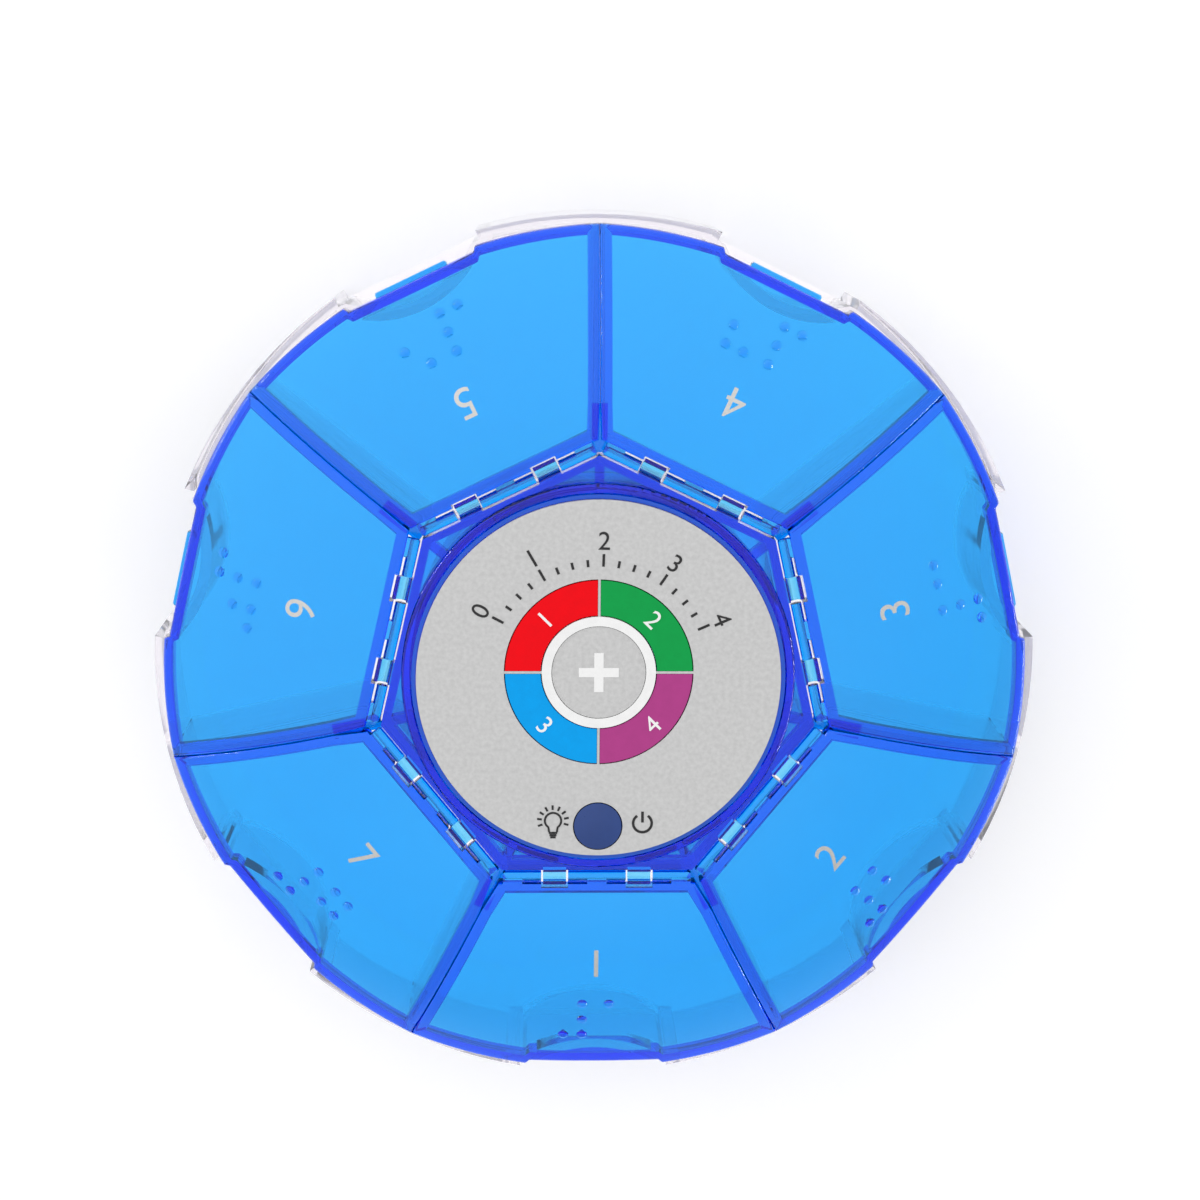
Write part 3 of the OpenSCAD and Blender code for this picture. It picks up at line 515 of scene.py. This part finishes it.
def lid_shell(plan):
    """The skin with its rounded upper edge and its rim, as one closed mesh."""
    s = plan.s
    points, faces = [], []

    def lay_grid(rows, drop, flip):
        first = len(points)
        width = len(rows[0])
        points.extend((x, y, plan.height(x, y) - drop) for row in rows for x, y in row)
        for i in range(len(rows) - 1):
            for j in range(width - 1):
                a = first + i * width + j
                quad = (a, a + 1, a + width + 1, a + width)
                faces.append(quad[::-1] if flip else quad)
        return first

    top = plan.grid(s.rounding)
    count = len(top), len(top[0])
    ring = rim_indices(*count)
    first = lay_grid(top, 0, False)
    loops = [[first + i * count[1] + j for i, j in ring]]

    def lay_loop(inset, depth):
        rows = plan.grid(inset)
        start = len(points)
        for i, j in ring:
            x, y = rows[i][j]
            points.append((x, y, depth(x, y, i == count[0] - 1)))
        loops.append(list(range(start, len(points))))

    for k in range(1, EDGE_TURNS + 1):
        a = math.pi / 2 * k / EDGE_TURNS
        fall = s.rounding * (1 - math.cos(a))
        lay_loop(s.rounding * (1 - math.sin(a)), lambda x, y, e, fall=fall: plan.height(x, y) - fall)
    lay_loop(0, lambda x, y, e: plan.low(x, y, e) + LOWER_EDGE)
    lay_loop(LOWER_EDGE, plan.low)
    lay_loop(s.rim_w, plan.low)
    under = plan.grid(s.rim_w)
    first = lay_grid(under, s.skin, True)
    loops.append([first + i * count[1] + j for i, j in ring])
    for upper, lower in zip(loops, loops[1:]):
        for k in range(len(ring)):
            n = (k + 1) % len(ring)
            faces.append((upper[k], lower[k], lower[n], upper[n]))
    return mesh_object("lid_shell", points, faces)


def hinge_rod(s):
    """Rod with softened ends, along Y."""
    shape = bmesh.new()
    place = Matrix.Translation((-HINGE.y, 0, HINGE.z)) @ Matrix.Rotation(math.pi / 2, 4, "X")
    bmesh.ops.create_cone(
        shape, cap_ends=True, segments=48, radius1=s.rod_r, radius2=s.rod_r, depth=s.rod_l, matrix=place)
    ends = [e for e in shape.edges if len(e.link_faces) == 2 and any(len(f.verts) > 4 for f in e.link_faces)]
    bmesh.ops.bevel(shape, geom=ends, offset=SMALL_EDGE, segments=2, affect="EDGES")
    return bmesh_object("rod", shape)


def lid_fittings(s):
    """Webs, thumb lip and rod, which are joined to the shell."""
    fittings = [hinge_rod(s)]
    for y in (-(s.rod_l - s.web_w) / 2, 0, (s.rod_l - s.web_w) / 2):
        low = (-HINGE.y, y - s.web_w / 2, HUB_TOP - s.web_h)
        high = (s.start + 2 * s.rounding, y + s.web_w / 2, HUB_TOP - 2 * HAIR)
        fittings.append(block("web", low, high))
    low = (s.flat_x - s.rounding, -s.lip_w / 2, LID_BASE + HAIR)
    high = (s.flat_x + s.lip_out, s.lip_w / 2, LID_BASE + s.lip_h)
    lip = block("lip", low, high)
    shape = bmesh.new()
    shape.from_mesh(lip.data)
    bmesh.ops.bevel(shape, geom=list(shape.edges), offset=SMALL_EDGE, segments=2, affect="EDGES")
    shape.to_mesh(lip.data)
    shape.free()
    return fittings + [lip]


def clip_notches(s):
    """Blocks that cut room for the hub's clips."""
    high = HUB_TOP + s.rim_h
    return [block("notch", (0, y - s.clip_w / 2, HUB_TOP - 2 * s.rim_h), (s.clip_x, y + s.clip_w / 2, high))
            for y in (-s.clip_spread / 2, s.clip_spread / 2)]


def tactile_dots(plan, number):
    """Balls that say the lid's number by touch."""
    s = plan.s
    groups = ((NUMBER_SIGN, -s.cell_pitch / 2), (DIGIT_DOTS[number - 1], s.cell_pitch / 2))
    balls = []
    for dots, middle in groups:
        for dot in dots:
            x = s.dots_x + ((dot - 1) % 3 - 1) * s.dot_pitch
            y = middle + ((dot - 1) // 3 - 0.5) * s.dot_pitch
            shape = bmesh.new()
            place = Matrix.Translation((x, y, plan.height(x, y) + s.dot_h - s.dot_r))
            bmesh.ops.create_uvsphere(shape, u_segments=32, v_segments=20, radius=s.dot_r, matrix=place)
            balls.append(bmesh_object("dot", shape))
    return balls


def lid_turn(number):
    """Turn that takes a lid from its own frame to its place."""
    return Matrix.Rotation(FIRST_LID + (number - 1) * 2 * HALF, 4, "Z")


class PILLBOX_OT_lids(bpy.types.Operator):
    """Domed blue lids with their rims, rods, lips and tactile dots"""

    bl_idname = "pillbox.lids"
    bl_label = "Lids"

    def execute(self, context):
        sizes, _, plastics, _ = settings()
        plan = LidPlan(sizes, sizes.corner_w)
        masters = []
        for cut in (sizes.corner_w, sizes.shared_corner_w):
            master = lid_shell(LidPlan(sizes, cut))
            combine(master, lid_fittings(sizes), "UNION")
            combine(master, clip_notches(sizes), "DIFFERENCE")
            masters.append(master)
        plastic = clear_material("lid_plastic", plastics.lid_blue, plastics.lid_take)
        for number in range(1, LIDS + 1):
            master = masters[number in SHARED_LIDS]
            lid = new_object(f"lid_{number}_plastic", master.data.copy())
            combine(lid, tactile_dots(plan, number), "UNION")
            lid.data.transform(lid_turn(number))
            smooth(lid)
            coat(lid, plastic)
            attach(lid, f"lid_{number}")
            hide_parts(f"lid_{number}")
        for master in masters:
            bpy.data.objects.remove(master)
        return {"FINISHED"}


# Prints

def text_mesh(text, height):
    """Flat outline text of a given height, centred, as a mesh in the XY plane."""
    curve = bpy.data.curves.new("text", "FONT")
    curve.body = text
    curve.size = height
    curve.align_x = "CENTER"
    curve.extrude = height / 2
    curve.resolution_u = 6
    writer = new_object("text", curve)
    bpy.context.view_layer.update()
    graph = bpy.context.evaluated_depsgraph_get()
    mesh = bpy.data.meshes.new_from_object(writer.evaluated_get(graph))
    bpy.data.objects.remove(writer)
    shape = bmesh.new()
    shape.from_mesh(mesh)
    bpy.data.meshes.remove(mesh)
    bmesh.ops.remove_doubles(shape, verts=shape.verts, dist=height * 1e-4)
    tops = [v.co.y for v in shape.verts]
    sides = [v.co.x for v in shape.verts]
    grow = height / (max(tops) - min(tops))
    middle = Vector(((max(sides) + min(sides)) / 2, (max(tops) + min(tops)) / 2, 0))
    for vertex in shape.verts:
        level = 1 if vertex.co.z > 0 else 0
        vertex.co = (vertex.co - middle) * grow
        vertex.co.z = level
    return shape


def ribbon(shape, line, width, closed=False):
    """Adds a flat band of one width along a line, with its underside at 0 and its top at 1."""
    count = len(line)
    rows = []
    for k, point in enumerate(line):
        before = Vector(line[k - 1 if closed or k else 0])
        after = Vector(line[(k + 1) % count if closed or k < count - 1 else k])
        along = (after - before).normalized()
        out = Vector((-along.y, along.x)) * width / 2
        left, right = Vector(point) + out, Vector(point) - out
        section = ((*left, 0), (*left, 1), (*right, 1), (*right, 0))
        rows.append([shape.verts.new(c) for c in section])
    for k in range(count if closed else count - 1):
        a, b = rows[k], rows[(k + 1) % count]
        for j in range(4):
            shape.faces.new((a[j], a[(j + 1) % 4], b[(j + 1) % 4], b[j]))
    if not closed:
        shape.faces.new(rows[0])
        shape.faces.new(rows[-1][::-1])


def arc(centre, radius, first, last, steps=24):
    """Points on an arc, with angles in degrees."""
    turn = [math.radians(first + (last - first) * k / steps) for k in range(steps + 1)]
    return [(centre[0] + radius * math.cos(a), centre[1] + radius * math.sin(a)) for a in turn]


def put_text(shape, text, height, place):
    """Adds text to the shape, moved by a matrix that keeps the levels 0 and 1."""
    words = text_mesh(text, height)
    bmesh.ops.transform(words, matrix=place, verts=words.verts)
    mesh = bpy.data.meshes.new("words")
    words.to_mesh(mesh)
    words.free()
    shape.from_mesh(mesh)
    bpy.data.meshes.remove(mesh)


def print_object(name, shape, surface, thickness):
    """Lays a flat shape on a surface, given as a height for each point."""
    longest = 0.6 * MM
    long_edges = [e for e in shape.edges if e.calc_length() > longest and e.verts[0].co.z == e.verts[1].co.z]
    bmesh.ops.subdivide_edges(shape, edges=long_edges, cuts=3)
    bmesh.ops.triangulate(shape, faces=shape.faces)
    for vertex in shape.verts:
        level = vertex.co.z
        base = surface(vertex.co.x, vertex.co.y)
        vertex.co.z = base + (thickness if level > 0.5 else -HAIR)
    return bmesh_object(name, shape)


class PILLBOX_OT_lid_numbers(bpy.types.Operator):
    """Silver numbers printed on the lids"""

    bl_idname = "pillbox.lid_numbers"
    bl_label = "Lid numbers"

    def execute(self, context):
        sizes, prints, plastics, _ = settings()
        plan = LidPlan(sizes, sizes.corner_w)
        foil = solid_material("silver_foil", plastics.foil, 0.35, scale=3000, contrast=0.05, metal=0.85)
        for number in range(1, LIDS + 1):
            shape = bmesh.new()
            place = Matrix.Translation((prints.number_x, 0, 0)) @ Matrix.Rotation(math.pi / 2, 4, "Z")
            put_text(shape, str(number), prints.number_h, place)
            mark = print_object(f"lid_{number}_number", shape, plan.height, prints.thickness)
            mark.data.transform(lid_turn(number))
            coat(mark, foil)
            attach(mark, f"lid_{number}")
        return {"FINISHED"}


def scale_marks(shape, p):
    """Hour scale over the keys, with plain numbers."""
    hours, quarters = 4, 4
    ticks = hours * quarters
    for k in range(ticks + 1):
        a = p.scale_first + (p.scale_last - p.scale_first) * k / ticks
        way = Vector((math.cos(a), math.sin(a)))
        whole = k % quarters == 0
        start = DIAL.xy + way * p.scale_r
        end = start + way * (p.long_tick if whole else p.tick)
        ribbon(shape, [start, end], p.line)
        if whole:
            spot = DIAL.xy + way * p.scale_number_r
            place = Matrix.Translation((*spot, 0)) @ Matrix.Rotation(a - math.pi / 2, 4, "Z")
            put_text(shape, str(k // quarters), p.scale_h, place)


def power_symbol(shape, p):
    """Open ring with an upright stroke."""
    centre = Vector((BUTTON.x + p.symbol_x, BUTTON.y))
    gap_start, gap_end = 415, 125
    low, high = Vector((0, 0.1 * MM)), Vector((0, 1.55 * MM))
    ribbon(shape, arc(centre, p.power_r, gap_end, gap_start), p.line)
    ribbon(shape, [centre + low, centre + high], p.line)


def lamp_symbol(shape, p):
    """Lamp bulb with rays and a screw cap."""
    centre = Vector((BUTTON.x - p.symbol_x, BUTTON.y + p.bulb_rise))
    width = p.line * 0.8
    neck_x, neck_y = 0.5 * MM, 1.5 * MM
    neck = [(centre.x + side * neck_x, centre.y - neck_y) for side in (-1, 1)]
    ribbon(shape, [neck[1]] + arc(centre, p.bulb_r, -55, 235) + [neck[0]], width)
    cap_half, cap_taper, cap_y, cap_pitch = 0.55 * MM, 0.1 * MM, 1.62 * MM, 0.3 * MM
    for k in range(3):
        half = cap_half - k * cap_taper
        y = centre.y - cap_y - k * cap_pitch
        ribbon(shape, [(centre.x - half, y), (centre.x + half, y)], width)
    first_ray, rays, ray_step, ray_in, ray_out = -16, 9, 27, 1.45 * MM, 2.05 * MM
    for k in range(rays):
        a = math.radians(first_ray + k * ray_step)
        way = Vector((math.cos(a), math.sin(a)))
        ribbon(shape, [centre + way * ray_in, centre + way * ray_out], width)


class PILLBOX_OT_face_prints(bpy.types.Operator):
    """Dark scale and symbols on the face, white plus and key numbers"""

    bl_idname = "pillbox.face_prints"
    bl_label = "Face prints"

    def execute(self, context):
        _, p, plastics, _ = settings()
        ink = solid_material("dark_ink", plastics.ink, 0.4, scale=3000, contrast=0.2)
        white = solid_material("white_ink", plastics.white, 0.4, scale=3000, contrast=0.02)
        shape = bmesh.new()
        scale_marks(shape, p)
        power_symbol(shape, p)
        lamp_symbol(shape, p)
        marks = print_object("face_marks", shape, lambda x, y: FACE_TOP, p.thickness)
        coat(marks, ink)
        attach(marks, "timer")
        shape = bmesh.new()
        reach, arm = p.plus_l / 2, p.plus_w / 2
        ribbon(shape, [(DIAL.x - reach, DIAL.y), (DIAL.x + reach, DIAL.y)], p.plus_w)
        for side in (-1, 1):
            ribbon(shape, [(DIAL.x, DIAL.y + side * arm), (DIAL.x, DIAL.y + side * reach)], p.plus_w)
        plus = print_object("centre_plus", shape, lambda x, y: PLATE_TOP, p.thickness)
        coat(plus, white)
        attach(plus, "timer")
        for number, degrees in zip(range(1, 5), (135, 45, 225, 315)):
            way = Vector((math.cos(math.radians(degrees)), math.sin(math.radians(degrees))))
            lean = math.radians(degrees % 180 - 90)
            shape = bmesh.new()
            place = Matrix.Translation((*(DIAL.xy + way * p.key_r), 0)) @ Matrix.Rotation(lean, 4, "Z")
            put_text(shape, str(number), p.key_h, place)
            mark = print_object(f"key_{number}_number", shape, lambda x, y: KEY_TOP, p.thickness)
            coat(mark, white)
            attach(mark, f"key_{number}")
        return {"FINISHED"}


# Tray, hub and timer

def corner_tabs(s):
    """Thin tabs of the hub that lie on the tray's walls in the corners between the lids."""
    plan = LidPlan(s, s.corner_w)
    points, faces = [], []
    for number in range(LIDS):
        turn = Matrix.Rotation(FIRST_LID + (2 * number + 1) * HALF, 4, "Z")
        first = len(points)
        for k in range(TAB_STEPS + 1):
            x = s.tab_in + (s.tab_out - s.tab_in) * k / TAB_STEPS
            high = plan.height(x, 0) - s.rim_h - s.tab_gap
            section = ((-1, high), (1, high), (1, high - s.tab_t), (-1, high - s.tab_t))
            points += [turn @ Vector((x, side * s.tab_w / 2, z)) for side, z in section]
        for a in range(first, len(points) - 4, 4):
            faces += [(a + k, a + (k + 1) % 4, a + 4 + (k + 1) % 4, a + 4 + k) for k in range(4)]
        faces.append((first + 3, first + 2, first + 1, first))
        faces.append(tuple(range(len(points) - 4, len(points))))
    return mesh_object("hub_corner_tabs", points, faces)


class PILLBOX_OT_tray(bpy.types.Operator):
    """Clear tray and blue hub"""

    bl_idname = "pillbox.tray"
    bl_label = "Tray and hub"

    def execute(self, context):
        sizes, _, c, _ = settings()
        clear = clear_material("tray_plastic", c.tray_tint, c.tray_take, rough=0.05, tone=c.tray_tone)
        dress(["tray"], clear)
        dress(["hub_frame"], clear_material("hub_plastic", c.hub_blue, c.lid_take))
        tabs = corner_tabs(sizes)
        coat(tabs, clear_material("tab_plastic", c.hub_blue, c.tab_take))
        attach(tabs, "box")
        return {"FINISHED"}


def key_spokes(p):
    """Thin bars that fill the gaps between the keys, almost level with the face."""
    shape = bmesh.new()
    for way in (Vector((1, 0)), Vector((0, 1)), Vector((-1, 0)), Vector((0, -1))):
        ribbon(shape, [DIAL.xy + way * p.spoke_in, DIAL.xy + way * p.spoke_out], p.spoke_w)
    high, low = FACE_TOP - 0.03 * MM, FACE_TOP - 0.6 * MM
    for vertex in shape.verts:
        vertex.co.z = high if vertex.co.z > 0.5 else low
    return bmesh_object("key_spokes", shape)


class PILLBOX_OT_timer(bpy.types.Operator):
    """Timer case, face, keys and what is inside"""

    bl_idname = "pillbox.timer"
    bl_label = "Timer"

    def execute(self, context):
        _, prints, c, _ = settings()
        case = clear_material("case_plastic", c.case_blue, c.lid_take, tone=c.case_tone, body=0.55)
        dress(["timer_case_top", "timer_case_bottom", "battery_door"], case)
        silver = solid_material("silver_lacquer", c.silver, 0.45, scale=1800, contrast=0.07, metal=0.25)
        dress(["face_plate", "centre_plate"], silver)
        dress(["key_guide"], solid_material("white_plastic", c.white, 0.3))
        for number, rgb in zip(range(1, 5), (c.red, c.green, c.cyan, c.purple)):
            dress([f"key_{number}"], solid_material(f"key_{number}_plastic", rgb, 0.5, sheen=0.12))
        spokes = key_spokes(prints)
        coat(spokes, silver)
        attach(spokes, "timer")
        dress(["power_button"], solid_material("button_plastic", c.navy, 0.3, sheen=0.3))
        dress(["circuit_board"], solid_material("board_laminate", c.board, 0.35, scale=400))
        black = solid_material("black_plastic", c.black, 0.4)
        dress(["key_switches", "power_switch", "controller_chip", "buzzer"], black)
        dress(["indicator_led"], solid_material("lamp_body", c.milky, 0.15, coat_share=1))
        steel = solid_material("plated_steel", c.steel, 0.25, metal=1)
        dress(["timing_crystal", "coin_cell", "case_screws"], steel)
        dress(["smoothing_capacitor"], solid_material("capacitor_sleeve", c.sleeve, 0.35))
        brass = solid_material("contact_metal", c.brass, 0.25, metal=1)
        dress(["contact_plus", "contact_minus"], brass)
        return {"FINISHED"}


# Stage

BRIGHT_SIDE = Vector((-0.35, 0.65, 0.65)).normalized()
LOBE_START = -0.2
GLOW_END = 0.42
FLOOR_GREY = (0.8, 0.8, 0.8)
FLOOR_GLOW = 0.3


def sky(strength, side, glow):
    """White to the camera, and a soft light that is stronger on one side and near the horizon."""
    world = bpy.data.worlds.new("studio")
    bpy.context.scene.world = world
    world.use_nodes = True
    tree = world.node_tree
    tree.nodes.clear()
    output = tree.nodes.new("ShaderNodeOutputWorld")
    place = tree.nodes.new("ShaderNodeTexCoord")
    lean = tree.nodes.new("ShaderNodeVectorMath")
    lean.operation = "DOT_PRODUCT"
    lean.inputs[1].default_value = BRIGHT_SIDE
    tree.links.new(place.outputs["Generated"], lean.inputs[0])
    lobe = tree.nodes.new("ShaderNodeMapRange")
    lobe.interpolation_type = "SMOOTHSTEP"
    lobe.inputs["From Min"].default_value = LOBE_START
    lobe.inputs["From Max"].default_value = 1
    lobe.inputs["To Min"].default_value = 1
    lobe.inputs["To Max"].default_value = 1 + side
    tree.links.new(lean.outputs["Value"], lobe.inputs["Value"])
    rise = tree.nodes.new("ShaderNodeSeparateXYZ")
    tree.links.new(place.outputs["Generated"], rise.inputs[0])
    low = tree.nodes.new("ShaderNodeMapRange")
    low.interpolation_type = "SMOOTHSTEP"
    low.inputs["From Min"].default_value = 0
    low.inputs["From Max"].default_value = GLOW_END
    low.inputs["To Min"].default_value = glow
    low.inputs["To Max"].default_value = 0
    tree.links.new(rise.outputs["Z"], low.inputs["Value"])
    both = tree.nodes.new("ShaderNodeMath")
    both.operation = "ADD"
    tree.links.new(lobe.outputs["Result"], both.inputs[0])
    tree.links.new(low.outputs["Result"], both.inputs[1])
    level = tree.nodes.new("ShaderNodeMath")
    level.operation = "MULTIPLY"
    level.inputs[1].default_value = strength
    tree.links.new(both.outputs[0], level.inputs[0])
    light = tree.nodes.new("ShaderNodeBackground")
    light.inputs["Color"].default_value = (1, 1, 1, 1)
    tree.links.new(level.outputs[0], light.inputs["Strength"])
    plain = tree.nodes.new("ShaderNodeBackground")
    plain.inputs["Color"].default_value = (1, 1, 1, 1)
    mix = tree.nodes.new("ShaderNodeMixShader")
    path = tree.nodes.new("ShaderNodeLightPath")
    tree.links.new(path.outputs["Is Camera Ray"], mix.inputs[0])
    tree.links.new(light.outputs[0], mix.inputs[1])
    tree.links.new(plain.outputs[0], mix.inputs[2])
    tree.links.new(mix.outputs[0], output.inputs["Surface"])


def floor_material():
    """Pale floor that adds a little light of its own to what the camera sees."""
    material, tree, output = node_material("pale_floor")
    shader = tree.nodes.new("ShaderNodeBsdfPrincipled")
    noise = grain(tree, 40)
    tree.links.new(shades(tree, noise, FLOOR_GREY, 0.004), shader.inputs["Base Color"])
    shader.inputs["Roughness"].default_value = 0.9
    shader.inputs["Specular IOR Level"].default_value = 0.1
    glow = tree.nodes.new("ShaderNodeEmission")
    path = tree.nodes.new("ShaderNodeLightPath")
    seen = [path.outputs[f"Is {kind} Ray"] for kind in ("Camera", "Glossy", "Transmission")]
    total = seen[0]
    for ray in seen[1:]:
        larger = tree.nodes.new("ShaderNodeMath")
        larger.operation = "MAXIMUM"
        tree.links.new(total, larger.inputs[0])
        tree.links.new(ray, larger.inputs[1])
        total = larger.outputs[0]
    strength = tree.nodes.new("ShaderNodeMath")
    strength.operation = "MULTIPLY"
    strength.inputs[1].default_value = FLOOR_GLOW
    tree.links.new(total, strength.inputs[0])
    tree.links.new(strength.outputs[0], glow.inputs["Strength"])
    add = tree.nodes.new("ShaderNodeAddShader")
    tree.links.new(shader.outputs[0], add.inputs[0])
    tree.links.new(glow.outputs[0], add.inputs[1])
    tree.links.new(add.outputs[0], output.inputs["Surface"])
    return material


def area_lamp(name, place, size, watts):
    """Soft lamp that points at the pill box."""
    aim = Vector((0, 0, 20 * MM))
    lamp = bpy.data.lights.new(name, "AREA")
    lamp.shape = "RECTANGLE"
    lamp.size, lamp.size_y = size
    lamp.energy = watts
    holder = new_object(name, lamp)
    holder.location = place
    holder.rotation_euler = (aim - Vector(place)).to_track_quat("-Z", "Y").to_euler()


class PILLBOX_OT_stage(bpy.types.Operator):
    """Floor, light and camera"""

    bl_idname = "pillbox.stage"
    bl_label = "Stage"

    def execute(self, context):
        stage = settings()[3]
        reach = 3
        corners = [(-reach, -reach, 0), (reach, -reach, 0), (reach, reach, 0), (-reach, reach, 0)]
        floor = mesh_object("floor", corners, [(0, 1, 2, 3)])
        coat(floor, floor_material())
        sky(stage.sky, stage.sky_side, stage.sky_glow)
        area_lamp("side_lamp", (-1.1, 0.5, 0.3), (0.4, 0.15), stage.side_watts)
        area_lamp("low_lamp", (0.95, -0.3, 0.075), (0.6, 0.1), stage.low_watts)
        camera = new_object("camera", bpy.data.cameras.new("camera"))
        camera.data.sensor_width = 36
        camera.data.lens = stage.lens
        camera.data.clip_start = 0.01
        camera.location = (stage.camera_x, stage.camera_y, stage.camera_z)
        camera.rotation_euler = (stage.camera_tilt, stage.camera_pan, stage.camera_roll)
        context.scene.camera = camera
        context.scene.view_settings.view_transform = "Standard"
        return {"FINISHED"}


class PILLBOX_PT_panel(bpy.types.Panel):
    """Builds the pill box from its sizes and colours"""

    bl_idname = "PILLBOX_PT_panel"
    bl_label = "Pill Box"
    bl_space_type = "VIEW_3D"
    bl_region_type = "UI"
    bl_category = "Pill Box"

    def draw(self, context):
        for group in settings():
            box = self.layout.box()
            for name in group.__annotations__:
                box.prop(group, name)
        for step in STEPS:
            self.layout.operator(step.bl_idname)


GROUPS = {
    "pill_lids": LidSizes,
    "pill_prints": PrintSizes,
    "pill_plastics": Plastics,
    "pill_stage": StageSizes,
}
STEPS = (
    PILLBOX_OT_tray,
    PILLBOX_OT_lids,
    PILLBOX_OT_lid_numbers,
    PILLBOX_OT_timer,
    PILLBOX_OT_face_prints,
    PILLBOX_OT_stage,
)


def register():
    """Registers the classes and hangs the sizes on the scene."""
    for item in (*GROUPS.values(), *STEPS, PILLBOX_PT_panel):
        bpy.utils.register_class(item)
    for name, group in GROUPS.items():
        setattr(bpy.types.Scene, name, bpy.props.PointerProperty(type=group))


def unregister():
    """Takes back what register did."""
    for name in GROUPS:
        delattr(bpy.types.Scene, name)
    for item in (PILLBOX_PT_panel, *reversed(STEPS), *reversed(GROUPS.values())):
        bpy.utils.unregister_class(item)


def main():
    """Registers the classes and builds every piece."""
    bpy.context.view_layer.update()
    register()
    for step in STEPS:
        family, name = step.bl_idname.split(".")
        getattr(getattr(bpy.ops, family), name)()


if __name__ == "__main__":
    main()
